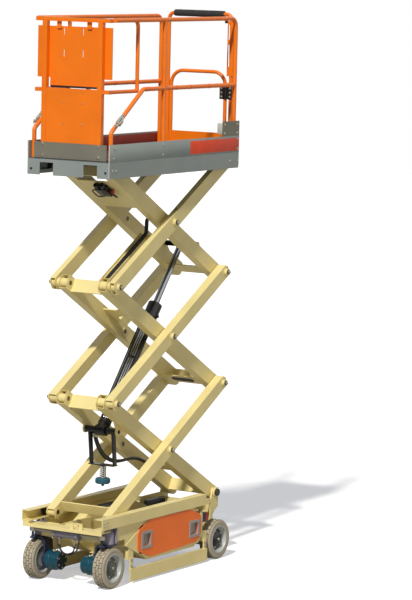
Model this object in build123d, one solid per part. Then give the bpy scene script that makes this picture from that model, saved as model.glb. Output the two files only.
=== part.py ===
from build123d import *
from math import atan2, cos, degrees, hypot, radians, sin, tan
import os

os.makedirs("parts", exist_ok=True)

# Electric slab scissor lift. Millimetres. Front (steered end) is +X, left is +Y,
# the ground is Z = 0 and the origin is on the ground under the middle of the machine.
# All pieces are placed in the raised pose in which the stack stands at STACK_ANGLE.

# ---- driving dimensions ----
STACK_ANGLE = 30.0          # arms above the horizontal as modelled
ARM_LENGTH = 1820.0         # pin to pin
STAGES = 3
BASE_PIN_X = -905.0
BASE_PIN_Z = 521.0
PIN_R = 20.0
RUNNING = 0.05              # radial clearance of a running fit
BOSS_R = 36.0
ARM_WALL = 5.0
ARM_OVERHANG = 48.0         # arm tube past its end pins
ARM_CORNER = 26.0           # chamfer on the arm tube's ends
INNER_Y = (147.0, 222.0)    # the inner arms' tube, from its inner to its outer side
OUTER_Y = (228.0, 303.0)
TOP_OUTER_Y = (253.0, 303.0)
INNER_DEPTH = 115.0
OUTER_DEPTH = 100.0

WHEEL_R = 161.5
TYRE_WIDTH = 100.0
TRACK = 660.0
WHEELBASE = 1550.0
HALF_WIDTH = 380.0
CHASSIS_FRONT = 945.0
KINGPIN_Y = 325.0
SPINDLE_R = 25.0

RAIL_BOTTOM = 478.0
RAIL_TOP = 564.0
RAIL_IN = 308.0             # open side of the roller channels
ROLLER_R = 33.0
ROLLER_Y = (312.0, 366.0)

NOSE_X = 1812.0            # the top arms' front noses slope down from here
NOSE_DROP = 63.0
COLLAR_Y = 326.0            # welded collars round the scissor pins
PIN_END_Y = 335.0

PLATFORM_HALF = 935.0       # half length of the main deck
DECK_PIN = 57.0             # platform pins above the deck's lower edge
FLOOR_UNDER = 122.0         # floor plate's underside above the deck's lower edge
FLOOR_TOP = 128.0
TOE_TOP = 260.0
RAIL_HEIGHT = 1220.0        # top of the guard rails above the deck's lower edge
MID_RAIL = 671.0
TUBE_R = 17.0
GUARD_Y = 356.0
SLIDER_R = 24.0             # platform's sliding blocks on the top arms' front pins
NOTCH_Y = (141.0, 267.0)    # notches that the top arms' noses pass through when lowered
NOTCH_TOP = 98.0

# ---- derived sizes ----
RUN = ARM_LENGTH * cos(radians(STACK_ANGLE))
RISE = ARM_LENGTH * sin(radians(STACK_ANGLE))
DECK_Z = BASE_PIN_Z + STAGES * RISE - DECK_PIN
AXLE_X = WHEELBASE / 2
WHEEL_Y = TRACK / 2


# ---- helpers ----
def block(x0, x1, y0, y1, z0, z1):
    """Axis-aligned box between two corners."""
    centre = Pos((x0 + x1) / 2, (y0 + y1) / 2, (z0 + z1) / 2)
    return centre * Box(x1 - x0, y1 - y0, z1 - z0)


def drum_y(x, z, y0, y1, r):
    """Cylinder along Y."""
    return Pos(x, (y0 + y1) / 2, z) * Rot(90, 0, 0) * Cylinder(r, y1 - y0)


def drum_z(x, y, z0, z1, r):
    """Upright cylinder."""
    return Pos(x, y, (z0 + z1) / 2) * Cylinder(r, z1 - z0)


def drum_x(x0, x1, r):
    """Cylinder along X from x0 to x1, on the axis."""
    return Pos((x0 + x1) / 2, 0, 0) * Rot(0, 90, 0) * Cylinder(r, x1 - x0)


def turned(profile, place):
    """Solid of revolution from (radius, axial) points, its axis turned from Z by place."""
    face = make_face(Plane.XZ * Polyline(*profile, close=True))
    return place * revolve(face, Axis.Z)


def side_plate(points, y0, y1):
    """Plate with an outline of (x, z) points, between two Y planes."""
    face = make_face(Polyline(*points, close=True))
    return Pos(0, y1, 0) * Rot(90, 0, 0) * extrude(face, y1 - y0, dir=(0, 0, 1))


def pipe(points, r, bend):
    """Round tube, modelled solid, along straight runs joined by equal bends."""
    path = FilletPolyline(*points, radius=bend) if len(points) > 2 else Line(*points)
    start = Plane(origin=path @ 0, z_dir=path % 0)
    return sweep(start * Circle(r), path=path)


def bent_plate(points, width, thickness, bend):
    """Plate folded along straight runs of (x, y, z) points, its width along X."""
    path = FilletPolyline(*points, radius=bend)
    start = Plane(origin=path @ 0, x_dir=(1, 0, 0), z_dir=path % 0)
    return sweep(start * Rectangle(width, thickness), path=path)


def cord_tube(points, diameter):
    """Hanging hose: straight runs joined by arcs as large as the runs allow."""
    runs = [(Vector(*b) - Vector(*a)) for a, b in zip(points, points[1:])]
    radii = []
    for before, after in zip(runs, runs[1:]):
        half_turn = radians(before.get_angle(after)) / 2
        radii.append(0.45 * min(before.length, after.length) / tan(half_turn))
    path = FilletPolyline(*points, radius=radii)
    tube = sweep(Plane(origin=path @ 0, z_dir=path % 0) * Circle(diameter / 2), path=path)
    print("hose length", round(path.length), "tightest bend", round(min(radii)))
    return tube


def both_sides(part):
    """The part and its mirror image on the other side of the machine."""
    return [part, mirror(part, about=Plane.XZ)]


def save(name, pieces):
    """One STEP file for a node; a node may hold several solids that do not touch."""
    pieces = pieces if isinstance(pieces, list) else [pieces]
    solids = [solid for piece in pieces for solid in piece.solids()]
    shape = solids[0] if len(solids) == 1 else Compound(children=solids)
    export_step(shape, f"parts/{name}.step")


# ---- scissor stack ----
def arm_tube(y_range, depth):
    """One hollow arm in its own frame: first pin at the origin, second at +X."""
    x0 = -ARM_OVERHANG
    x1 = ARM_LENGTH + ARM_OVERHANG
    half = depth / 2
    cut = ARM_CORNER
    outline = [
        (x0, cut - half), (x0 + cut, -half), (x1 - cut, -half), (x1, cut - half),
        (x1, half - cut), (x1 - cut, half), (x0 + cut, half), (x0, half - cut),
    ]
    tube = side_plate(outline, *y_range)
    hollow = half - ARM_WALL
    tube -= block(x0 - 1, x1 + 1, y_range[0] + ARM_WALL, y_range[1] - ARM_WALL, -hollow, hollow)
    return tube


def arm(y_range, boss_range, depth, bore_r):
    """Arm with its three bored bosses."""
    result = arm_tube(y_range, depth)
    for x in (0, ARM_LENGTH / 2, ARM_LENGTH):
        result += drum_y(x, 0, *boss_range, BOSS_R)
    for x in (0, ARM_LENGTH / 2, ARM_LENGTH):
        result -= drum_y(x, 0, boss_range[0] - 1, boss_range[1] + 1, bore_r)
    return result


def collar_stations(stage):
    """Where an outer arm's pins have collars; rollers and the platform take the rest."""
    stations = [0, ARM_LENGTH / 2, ARM_LENGTH]
    if stage == 0:
        stations.remove(ARM_LENGTH)
    if stage == STAGES - 1:
        stations.remove(0)
    return stations


def inner_place(stage):
    """Frame of an inner arm: rear low pin, +X along the arm to its front high pin."""
    return Pos(BASE_PIN_X, 0, BASE_PIN_Z + stage * RISE) * Rot(0, -STACK_ANGLE, 0)


def outer_place(stage):
    """Frame of an outer arm: rear high pin, +X along the arm to its front low pin."""
    return Pos(BASE_PIN_X, 0, BASE_PIN_Z + (stage + 1) * RISE) * Rot(0, STACK_ANGLE, 0)


# cross plates of the inner arms, in the arm's frame:
# stage, along from, along to, below the centre line, above the centre line
CROSS_PLATES = [
    (0, 70, 80, -52, 52), (0, 560, 640, -52, -42), (0, 1772, 1782, -55, 55),
    (1, 60, 70, -50, 52), (1, 1772, 1782, -55, 55),
    (2, 62, 195, -57, -50), (2, 1250, 1700, -57, -50), (2, 1772, 1782, -50, 30),
]
ARCH = (1060.0, 1290.0, 20.0, 30.0)     # arched plate of stage 2: along from, to, below, above
ARCH_BITE_R = 118.0                     # its round mouth, which the cylinder passes through
SLOT_PLATE = (60.0, 190.0, -57.0, -50.0)
CYL_BASE = (1464.6, -100.0)     # cylinder's lower eye in the bottom inner arm's frame
CYL_HEAD = (296.8, 86.1)        # cylinder's upper eye in the top inner arm's frame
BASE_BAR_R = 27.0
HEAD_BAR_R = 22.0
EAR_Y = (147.0, 161.0)
EAR_ROOT = 92.0                 # half length of an ear's weld along the arm


def ear(at, half_depth, tip_r):
    """Triangular ear from the arm's edge out to a cylinder eye."""
    x, z = at
    face = half_depth if z > 0 else -half_depth
    outline = [
        (x - EAR_ROOT, face), (x + EAR_ROOT, face),
        (x + tip_r * 0.8, z), (x - tip_r * 0.8, z),
    ]
    return side_plate(outline, *EAR_Y) + drum_y(x, z, *EAR_Y, tip_r)


def inner_arms(stage):
    """Left and right inner arm; the top pair has sloped noses that fit under the floor."""
    boss = (INNER_Y[0] - 2.5, INNER_Y[1] + 2.5)
    left = arm(INNER_Y, boss, INNER_DEPTH, PIN_R + RUNNING)
    if stage == STAGES - 1:
        tip = ARM_LENGTH + ARM_OVERHANG
        top = INNER_DEPTH / 2
        nose = [(NOSE_X, top), (tip + 1, top - NOSE_DROP), (tip + 1, top + 1), (NOSE_X, top + 1)]
        left -= side_plate(nose, INNER_Y[0] - 5, INNER_Y[1] + 5)
    return [inner_place(stage) * side for side in both_sides(left)]


def arched_plate():
    """Plate with a round mouth in its rear edge for the lift cylinder."""
    x0, x1, z0, z1 = ARCH
    mouth = Pos(x0 + 6, 0, (z0 + z1) / 2) * Cylinder(ARCH_BITE_R, z1 - z0 + 2)
    return block(x0, x1, -INNER_Y[0], INNER_Y[0], z0, z1) - mouth


def slotted_plate():
    """Lower plate of stage 2 with its long round-ended hose window."""
    x0, x1, z0, z1 = SLOT_PLATE
    window = Pos(128, 0, (z0 + z1) / 2) * extrude(SlotOverall(200, 50, rotation=90), z1 - z0 + 2, both=True)
    return block(x0, x1, -INNER_Y[0], INNER_Y[0], z0, z1) - window


def cross_plates(stage):
    """Plates between the two inner arms and the ears of the lift cylinder."""
    half = INNER_DEPTH / 2
    pieces = []
    for at_stage, x0, x1, z0, z1 in CROSS_PLATES:
        if at_stage == stage:
            pieces.append(block(x0, x1, -INNER_Y[0], INNER_Y[0], z0, z1))
    if stage == 0:
        lower_ear = ear(CYL_BASE, half, 34) - drum_y(*CYL_BASE, EAR_Y[0] - 1, EAR_Y[1] + 1, 15)
        pieces += both_sides(lower_ear)
        pieces[1] += block(566, 592, -102, -50, -43, -14)
    if stage == 1:
        pieces += [arched_plate(), slotted_plate()]
    if stage == STAGES - 1:
        pieces += both_sides(ear(CYL_HEAD, half, 28))
    return [inner_place(stage) * piece for piece in pieces]


def outer_arms(stage):
    """Left and right outer arm with collars for the pins."""
    top = stage == STAGES - 1
    y_range = TOP_OUTER_Y if top else OUTER_Y
    boss = (OUTER_Y[0] - 2.5, OUTER_Y[1] + 2.5)
    left = arm(y_range, boss, INNER_DEPTH if top else OUTER_DEPTH, PIN_R)
    for x in collar_stations(stage):
        left += drum_y(x, 0, OUTER_Y[1], COLLAR_Y, 26) - drum_y(x, 0, OUTER_Y[1] - 1, COLLAR_Y + 1, PIN_R)
    return [outer_place(stage) * side for side in both_sides(left)]


def outer_pins(stage):
    """Pins carried by an outer arm: rear high, centre, front low, hollow at their ends."""
    shaft = (INNER_Y[0] - 2.5, PIN_END_Y)
    pins = []
    for x in collar_stations(stage):
        pin = drum_y(x, 0, *shaft, PIN_R) - drum_y(x, 0, PIN_END_Y - 16, PIN_END_Y + 1, 11)
        pins += both_sides(pin)
    if stage == STAGES - 1:
        pins += both_sides(drum_y(0, 0, OUTER_Y[0] - 2.5, 352, PIN_R))
    return [outer_place(stage) * pin for pin in pins]


def rollers(place, inside, radius):
    """Pair of channel rollers on stub axles at the arm's second pin."""
    x = ARM_LENGTH
    roller = drum_y(x, 0, inside, ROLLER_Y[0], PIN_R) + drum_y(x, 0, *ROLLER_Y, radius)
    return [place * side for side in both_sides(roller)]


for stage in range(STAGES):
    save(f"inner_arms_{stage + 1}", inner_arms(stage))
    save(f"cross_plates_{stage + 1}", cross_plates(stage))
    save(f"outer_arms_{stage + 1}", outer_arms(stage))
    save(f"scissor_pins_{stage + 1}", outer_pins(stage))
save("outer_cross_plate", outer_place(0) * block(1735, 1745, -OUTER_Y[0], OUTER_Y[0], -45, 45))
save("lower_rollers", rollers(outer_place(0), OUTER_Y[0] - 2.5, ROLLER_R))
save("upper_rollers", rollers(inner_place(STAGES - 1), INNER_Y[0] - 2.5, SLIDER_R))

# hose tray inside the top outer arms, and the two hoses that it holds
TRAY = (1050.0, 1735.0, 55.0, 141.0)    # along from, to, Y from, to
TRAY_FLOOR = (-46.0, -42.0)
TRAY_LIP = -22.0
x0, x1, y0, y1 = TRAY
tray = block(x0, x1, y0, y1, *TRAY_FLOOR)
tray += block(x0, x1, y0, y0 + 4, TRAY_FLOOR[0], TRAY_LIP)
tray += block(x0, x1, y1 - 4, y1, TRAY_FLOOR[0], TRAY_LIP)
tray += block(1060, 1130, y1, TOP_OUTER_Y[0], *TRAY_FLOOR)
save("hose_tray", outer_place(STAGES - 1) * tray)
HOSE_R = 8.0
tray_hoses = []
for y in (88, 106):
    route = [(1730, y, -34), (1040, y, -34), (985, y, 50), (938, y, 62), (910, y, 10)]
    tray_hoses.append(outer_place(STAGES - 1) * pipe(route, HOSE_R, 16))
save("tray_hoses", tray_hoses)


# ---- lift cylinder ----
def in_arm(stage, at):
    """World (x, z) of a point in an inner arm's frame."""
    a = radians(STACK_ANGLE)
    x = BASE_PIN_X + at[0] * cos(a) - at[1] * sin(a)
    z = BASE_PIN_Z + stage * RISE + at[0] * sin(a) + at[1] * cos(a)
    return x, z


BASE_EYE = in_arm(0, CYL_BASE)
HEAD_EYE = in_arm(STAGES - 1, CYL_HEAD)
EYE_SPAN = hypot(HEAD_EYE[0] - BASE_EYE[0], HEAD_EYE[1] - BASE_EYE[1])
CYL_ANGLE = degrees(atan2(HEAD_EYE[1] - BASE_EYE[1], HEAD_EYE[0] - BASE_EYE[0]))
CYL_PLACE = Pos(BASE_EYE[0], 0, BASE_EYE[1]) * Rot(0, -CYL_ANGLE, 0)
BARREL_END = 1190.0
BARREL_R = 50.0
GLAND_R = 58.0
ROD_R = 25.0
ROD_START = 640.0


GLAND_LENGTH = 150.0
bar = drum_y(*CYL_BASE, -EAR_Y[0] + 1, EAR_Y[0] - 1, BASE_BAR_R)
bar += drum_y(*CYL_BASE, -EAR_Y[1] - 4, EAR_Y[1] + 4, 15)
base_bar = inner_place(0) * bar

# sloped struts under the bar, the plate between them, and the cushion that meets the
# chassis as the platform comes down
SNUBBER_X = BASE_EYE[0] - 28
STRUT_Y = (102.0, 118.0)
SPRING_TOP = 885.0
SPRING_FOOT = 787.0
strut = side_plate([
    (BASE_EYE[0] - 20, BASE_EYE[1] - 8), (BASE_EYE[0] + 20, BASE_EYE[1] - 8),
    (SNUBBER_X + 16, SPRING_TOP), (SNUBBER_X - 20, SPRING_TOP),
], *STRUT_Y)
base_bar += strut + mirror(strut, about=Plane.XZ)
base_bar += block(SNUBBER_X - 34, SNUBBER_X + 34, -STRUT_Y[1], STRUT_Y[1], SPRING_TOP, SPRING_TOP + 8)
save("cylinder_base_bar", base_bar)

spring_path = Pos(SNUBBER_X, 0, SPRING_FOOT) * Helix(pitch=15, height=SPRING_TOP - SPRING_FOOT - 4, radius=24)
wire = Plane(origin=spring_path @ 0, z_dir=spring_path % 0) * Circle(4)
save("snubber_spring", sweep(wire, path=spring_path, is_frenet=True))
pad = drum_z(SNUBBER_X, 0, 738, SPRING_FOOT - 4, 60)
pad = chamfer(pad.edges().filter_by(GeomType.CIRCLE), 9)
pad += drum_z(SNUBBER_X, 0, 718, SPRING_TOP, 11)
save("snubber_pad", pad)

PORT_X = BARREL_END - 110
SIDE_TUBE = (220.0, PORT_X, -62.0, 11.0)    # along from, to, Y, radius
barrel = drum_x(0, BARREL_END - GLAND_LENGTH, BARREL_R)
barrel += drum_x(BARREL_END - GLAND_LENGTH, BARREL_END, GLAND_R)
barrel += drum_x(BARREL_END - GLAND_LENGTH - 24, BARREL_END - GLAND_LENGTH, BARREL_R + 4)
barrel += drum_y(0, 0, -45, 45, 44) + drum_y(PORT_X, 0, -74, 74, 14)
tube_x0, tube_x1, tube_y, tube_r = SIDE_TUBE
barrel += Pos(0, tube_y, 0) * drum_x(tube_x0, tube_x1, tube_r)
barrel += block(tube_x0 - 20, tube_x0 + 20, tube_y - 12, -BARREL_R + 10, -14, 14)
for x in (450, 750):
    barrel += block(x - 12, x + 12, tube_y, -BARREL_R + 10, -8, 8)
barrel -= drum_y(0, 0, -56, 56, BASE_BAR_R + RUNNING)
barrel -= drum_x(80, BARREL_END + 1, ROD_R + RUNNING)
save("cylinder_barrel", CYL_PLACE * barrel)

rod = drum_x(ROD_START, EYE_SPAN - 10, ROD_R) + drum_y(EYE_SPAN, 0, -141.5, 141.5, HEAD_BAR_R)
rod += drum_y(EYE_SPAN, 0, -32, 32, 36)
save("cylinder_rod", CYL_PLACE * rod)

# two hoses that hang from the lower bar to the first cross plate
LIFT_HOSE_D = 18.0
LIFT_HOSE_ROUTE = [
    (402, 1136), (372, 1066), (318, 990), (234, 922), (118, 878), (-16, 868), (-135, 874),
    (-262, 850), (-376.8, 794.5),
]
LIFT_HOSE_SAG = [0, -4, -8, -12, -14, -14, -12, -8, 0]
for side, y, sag in (("inner", -66, 0), ("outer", -87, 1)):
    route = [(x, y, z + sag * drop) for (x, z), drop in zip(LIFT_HOSE_ROUTE, LIFT_HOSE_SAG)]
    save(f"lift_hose_{side}", cord_tube(route, LIFT_HOSE_D))


# ---- chassis ----
def roller_channel(z_low, z_high, lower, upper, x0, x1, web):
    """C channel, open inwards: Z range, flange thicknesses, X range, web outer face."""
    flanges = block(x0, x1, lower[0], web, z_low, z_low + lower[1])
    flanges += block(x0, x1, upper[0], web, z_high - upper[1], z_high)
    return flanges + block(x0, x1, web - 8, web, z_low, z_high)


chassis_rail = roller_channel(
    RAIL_BOTTOM, RAIL_TOP, (RAIL_IN, 9), (RAIL_IN, 6), -560, CHASSIS_FRONT, HALF_WIDTH)
save("chassis_rails", both_sides(chassis_rail))

LUG_Y = (228.0, 262.0)
lug_outline = [
    (-870, 150), (-640, 150), (-530, 240), (-530, RAIL_BOTTOM), (-840, RAIL_BOTTOM),
    (-868, 558), (-942, 558), (-950, 540), (-950, 400), (-905, 375), (-870, 340),
]
rear_side = side_plate(lug_outline, 238, 250) - block(-835, -650, 237, 251, 262, 440)
rear_side += drum_y(BASE_PIN_X, BASE_PIN_Z, *LUG_Y, 38)
rear_side += block(-560, -530, 250, 372, 440, RAIL_BOTTOM)
rear_side += drum_y(-AXLE_X, WHEEL_R, 250, 262, 60)
rear_side += drum_y(-AXLE_X, WHEEL_R, 250, 345, SPINDLE_R)
rear_side -= drum_y(BASE_PIN_X, BASE_PIN_Z, LUG_Y[0] - 1, LUG_Y[1] + 1, PIN_R)
rear_frame = rear_side + mirror(rear_side, about=Plane.XZ)
rear_frame += block(-870, -862, -238, 238, 160, 440)
rear_frame += block(-835, -715, -238, 238, 110, 190)
save("rear_frame", rear_frame)
base_pin = drum_y(BASE_PIN_X, BASE_PIN_Z, INNER_Y[0] - 2.5, LUG_Y[1], PIN_R)
base_pin += drum_y(BASE_PIN_X, BASE_PIN_Z, LUG_Y[1], LUG_Y[1] + 14, 30)
save("base_pins", both_sides(base_pin))

GUARD_LIP = (352.0, 371.0, 110.0, 118.0)    # pothole guard's top lip: Y from, to, Z from, to
BOX_IN = 175.0
BOX_OUT = 366.0
BOX_BOTTOM = 150.0
box_outline = [
    (595, 311), (285, RAIL_BOTTOM), (-360, RAIL_BOTTOM), (-530, 415), (-530, 235),
    (-440, BOX_BOTTOM), (255, BOX_BOTTOM),
]
DOOR_OUTLINE = [
    (432, 400), (259, 474), (-336, 469), (-499, 409), (-499, 248), (-427, 194),
    (247, 175), (427, 243),
]
side_box = side_plate(box_outline, BOX_IN, BOX_OUT)
side_box -= block(-490, 400, BOX_IN + 5, BOX_OUT + 1, 215, 440)
side_box -= block(-600, 600, GUARD_LIP[0] - 6, BOX_OUT + 1, BOX_BOTTOM - 1, 176)
side_box += block(475, 545, 330, 361, 190, 290) + block(-605, -529, 330, 361, 180, 260)
save("side_boxes", both_sides(side_box))
save("batteries", both_sides(block(-440, 380, BOX_IN + 6, BOX_OUT - 30, 216, 410)))
save("floor_pan", block(-715, 280, -BOX_IN - 15, BOX_IN + 15, BOX_BOTTOM - 8, BOX_BOTTOM))

# pump set between the side boxes: tank, motor and valve block
power_unit = block(-660, -380, -130, 130, BOX_BOTTOM, 400)
power_unit = fillet(power_unit.edges().filter_by(Axis.Z), 30)
power_unit += Pos(0, -55, 290) * drum_x(-385, -60, 62) + block(-240, -180, -100, -10, BOX_BOTTOM, 240)
power_unit += block(-385, -290, 30, 120, 200, 380) + drum_z(-520, 60, 395, 425, 28)
save("power_unit", power_unit)

# front member under the roller channels, with two stop tabs
FRONT_BEAM = (820.0, CHASSIS_FRONT, 436.0, 460.0)   # X range, Z range
beam_x0, beam_x1, beam_z0, beam_z1 = FRONT_BEAM
front_member = block(beam_x0, beam_x1, -372, 372, beam_z1 - 8, beam_z1)
front_member += block(beam_x1 - 6, beam_x1, -372, 372, beam_z0, beam_z1)
for y0 in (-372, 316):
    front_member += block(beam_x1 - 40, beam_x1, y0, y0 + 56, beam_z1, RAIL_BOTTOM)
for y0 in (64, 148):
    front_member += block(beam_x1 - 24, beam_x1 - 18, y0, y0 + 30, beam_z1, beam_z1 + 42)
save("front_member", front_member)

front_axle = block(735, 815, -285, 285, 350, 440)
for y in (-175, 160):
    front_axle += block(300, 736, y, y + 15, 250, 440)
for y0, y1, top in ((175, 308, 445), (308, 372, RAIL_BOTTOM)):
    front_axle += block(722, 736, y0, y1, 352, top) + block(722, 736, -y1, -y0, 352, top)
front_axle -= block(738, 812, -283, 283, 353, 437)
housing = drum_z(AXLE_X, KINGPIN_Y, 350, 440, 42)
front_axle += housing + mirror(housing, about=Plane.XZ)
bore = drum_z(AXLE_X, KINGPIN_Y, 340, 450, 24 + RUNNING)
front_axle -= bore
front_axle -= mirror(bore, about=Plane.XZ)
front_axle += block(735, 815, -60, 60, 437, 470)
save("front_axle", front_axle)

STEER_X = 870.0
STEER_Z = 408.0
steer_barrel = drum_y(STEER_X, STEER_Z, -118, 118, 36)
for y0 in (-118, 92):
    steer_barrel += drum_y(STEER_X, STEER_Z, y0, y0 + 26, 41)
steer_barrel += drum_z(STEER_X, -70, STEER_Z - 56, STEER_Z, 10) + drum_z(STEER_X, 70, STEER_Z - 56, STEER_Z, 10)
steer_barrel += block(815, STEER_X, -90, 90, STEER_Z - 14, STEER_Z + 14)
steer_barrel -= drum_y(STEER_X, STEER_Z, -120, 120, 14 + RUNNING)
save("steering_cylinder", steer_barrel)
steer_rod = drum_y(STEER_X, STEER_Z, -300, 300, 14)
for side in (-1, 1):
    steer_rod += drum_z(STEER_X, side * KINGPIN_Y, STEER_Z - 14, STEER_Z + 14, 26)
    steer_rod += block(STEER_X - 10, STEER_X + 10, side * 305 - 12, side * 305 + 12,
                       STEER_Z - 10, STEER_Z + 10)
save("steering_rod", steer_rod)

# two hoses that hang in crossing loops from the steering cylinder's ports to the axle beam
STEERING_HOSE_D = 12.0
STEERING_HOSE_ROUTES = [
    [
        (870, -70, 351), (870, -70, 302), (873, -48, 262), (876, 6, 236), (872, 60, 250),
        (862, 94, 286), (850, 96, 332), (819.6, 84, 361),
    ],
    [
        (870, 70, 351), (868, 72, 300), (862, 50, 258), (856, -4, 238), (852, -58, 250),
        (848, -96, 288), (842, -98, 336), (819.6, -84, 361),
    ],
]
save("steering_hoses", [cord_tube(route, STEERING_HOSE_D) for route in STEERING_HOSE_ROUTES])

MOTOR_R = 78.0
MOTOR_Y = (106.0, 236.0)


def knuckle():
    """Left knuckle: kingpin, bent plate over and behind the tyre, spindle, steering arm."""
    result = bent_plate([(AXLE_X, 368, 341), (AXLE_X, 244, 341), (AXLE_X, 244, 95)], 112, 14, 46)
    result += drum_z(AXLE_X, KINGPIN_Y, 340, 462, 24) + drum_z(AXLE_X, KINGPIN_Y, 441, 450, 37)
    result += drum_z(AXLE_X, KINGPIN_Y, 450, 462, 31)
    result += drum_y(AXLE_X, WHEEL_R, MOTOR_Y[1], 345, SPINDLE_R) + drum_y(AXLE_X, WHEEL_R, MOTOR_Y[1], 256, 70)
    result += block(AXLE_X + 20, STEER_X, KINGPIN_Y - 18, KINGPIN_Y + 18, 335, 347)
    result += drum_z(STEER_X, KINGPIN_Y, 335, 347, 24)
    result += drum_z(STEER_X, KINGPIN_Y, 347, 388, 10)
    return result


def drive_motor():
    """Left wheel motor behind the bent plate: flange, grooved case and end cap."""
    profile = [
        (0, 0), (MOTOR_R - 14, 0), (MOTOR_R - 8, 6), (MOTOR_R - 8, 46), (MOTOR_R, 50), (MOTOR_R, 78),
        (MOTOR_R - 3, 80), (MOTOR_R - 3, 84), (MOTOR_R, 86), (MOTOR_R, 118), (MOTOR_R - 10, 130), (0, 130),
    ]
    return turned(profile, Pos(AXLE_X, MOTOR_Y[0], WHEEL_R) * Rot(-90, 0, 0))


def wheel_place(x, side):
    """Wheel frame: origin at the wheel's centre, +Z outwards from the machine."""
    return Pos(x, side * WHEEL_Y, WHEEL_R) * Rot(-90 * side, 0, 0)


RIM_R = 118.0


def tyre(x, side):
    """Solid tyre with rounded-off shoulders."""
    half = TYRE_WIDTH / 2
    profile = [
        (RIM_R, -half), (WHEEL_R - 12, -half), (WHEEL_R, 10 - half),
        (WHEEL_R, half - 10), (WHEEL_R - 12, half), (RIM_R, half),
    ]
    return turned(profile, wheel_place(x, side))


def wheel(x, side):
    """Dished rim with a stepped hub, bored from behind for its spindle."""
    half = TYRE_WIDTH / 2
    profile = [
        (0, 32), (34, 32), (44, 26), (58, 24), (60, 8), (78, 8), (84, 14), (100, 36), (106, half),
        (RIM_R, half), (RIM_R, -half), (106, -half), (100, -24), (84, 2), (62, -4), (60, -40),
        (SPINDLE_R + RUNNING, -40), (SPINDLE_R + RUNNING, 16), (0, 16),
    ]
    rim = turned(profile, Pos())
    for angle in range(0, 360, 72):
        rim -= Rot(0, 0, angle) * Pos(70, 0, 5) * Cylinder(7, 30)
    return wheel_place(x, side) * rim


for name, x, side in (
    ("front_left", AXLE_X, 1), ("front_right", AXLE_X, -1),
    ("rear_left", -AXLE_X, 1), ("rear_right", -AXLE_X, -1),
):
    save(f"tyre_{name}", tyre(x, side))
    save(f"wheel_{name}", wheel(x, side))

DOOR_HINGE = (-503.0, 375.0)
# battery door with two recessed hand holds: X start, Z start of each opening
HAND_HOLDS = ((229, 252), (-470, 237))
HOLD_WIDTH = 150.0
HOLD_HEIGHT = 138.0
HOLD_DEPTH = 18.0
door_face = make_face(Polyline(*DOOR_OUTLINE, close=True))
door_face = fillet(door_face.vertices(), 60)
door = Pos(0, BOX_OUT + 8, 0) * Rot(90, 0, 0) * extrude(door_face, 7.5, dir=(0, 0, 1))
for z in (284, 335):
    door += drum_z(DOOR_HINGE[0], DOOR_HINGE[1], z, z + 26, 4.5)
for x0, z0 in HAND_HOLDS:
    x1 = x0 + HOLD_WIDTH
    z1 = z0 + HOLD_HEIGHT
    door += block(x0, x1, BOX_OUT - HOLD_DEPTH, BOX_OUT + 12, z0, z1)
    door -= block(x0 + 22, x1 - 22, BOX_OUT - HOLD_DEPTH + 4, BOX_OUT + 13, z0 + 22, z1 - 22)
guard = block(-592, 535, 371, 379, 18, 118) + block(-592, 535, *GUARD_LIP)
for x0, x1, top in ((488, 530, 204), (-590, -548, 190)):
    bracket = block(x0, x1, 362, 371, 90, top)
    for z in (140, top - 24):
        bracket -= drum_y((x0 + x1) / 2, z, 361, 372, 7)
    guard += bracket
for index, side in enumerate(("left", "right")):
    save(f"knuckle_{side}", both_sides(knuckle())[index])
    save(f"drive_motor_{side}", both_sides(drive_motor())[index])
    save(f"side_door_{side}", both_sides(door)[index])
    save(f"pothole_guard_{side}", both_sides(guard)[index])


# ---- platform ----
def deck(x0, x1, y0, y1, z0, z1):
    """Box with Z measured from the deck's lower edge."""
    return block(x0, x1, y0, y1, DECK_Z + z0, DECK_Z + z1)


def deck_pipe(points, r=TUBE_R, bend=70.0):
    """Tube with Z measured from the deck's lower edge."""
    return pipe([(x, y, DECK_Z + z) for x, y, z in points], r, bend)


P = PLATFORM_HALF
SIDE_PROFILE = [
    (380, 0), (345, 0), (345, 30), (355, 30), (355, 8), (372, 8), (372, 112), (355, 112),
    (355, 84), (308, 84), (308, 92), (347, 92), (347, FLOOR_UNDER), (374, FLOOR_UNDER),
    (374, TOE_TOP), (380, TOE_TOP),
]


def deck_profile(points, x0, x1):
    """Rolled section of (y, z) points from the deck's lower edge, run along X."""
    face = make_face(Plane.YZ * Polyline(*[(y, DECK_Z + z) for y, z in points], close=True))
    return Pos(x0, 0, 0) * extrude(face, x1 - x0, dir=(1, 0, 0))


side = deck_profile(SIDE_PROFILE, -P, P + 10)
side += deck(-P, -860, 309, 373, 20, 92)
side -= drum_y(BASE_PIN_X, DECK_Z + DECK_PIN, 308, 373, PIN_R + RUNNING)
deck_frame = side + mirror(side, about=Plane.XZ)
deck_frame += deck(-P, -683, 374, HALF_WIDTH, TOE_TOP, 380)
for x in (-560, -160, 210):
    deck_frame += deck(x, x + 40, -348, 348, 104, FLOOR_UNDER)
front_beam = deck(P + 4, P + 10, -HALF_WIDTH, HALF_WIDTH, 0, FLOOR_UNDER)
for y0, y1 in (NOTCH_Y, (-NOTCH_Y[1], -NOTCH_Y[0])):
    front_beam -= deck(P + 3, P + 11, y0, y1, -1, NOTCH_TOP)
deck_frame += front_beam
save("deck_frame", deck_frame)
save("deck_floor", deck(-P, P + 3.9, -373, 373, FLOOR_UNDER, FLOOR_TOP))

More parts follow.
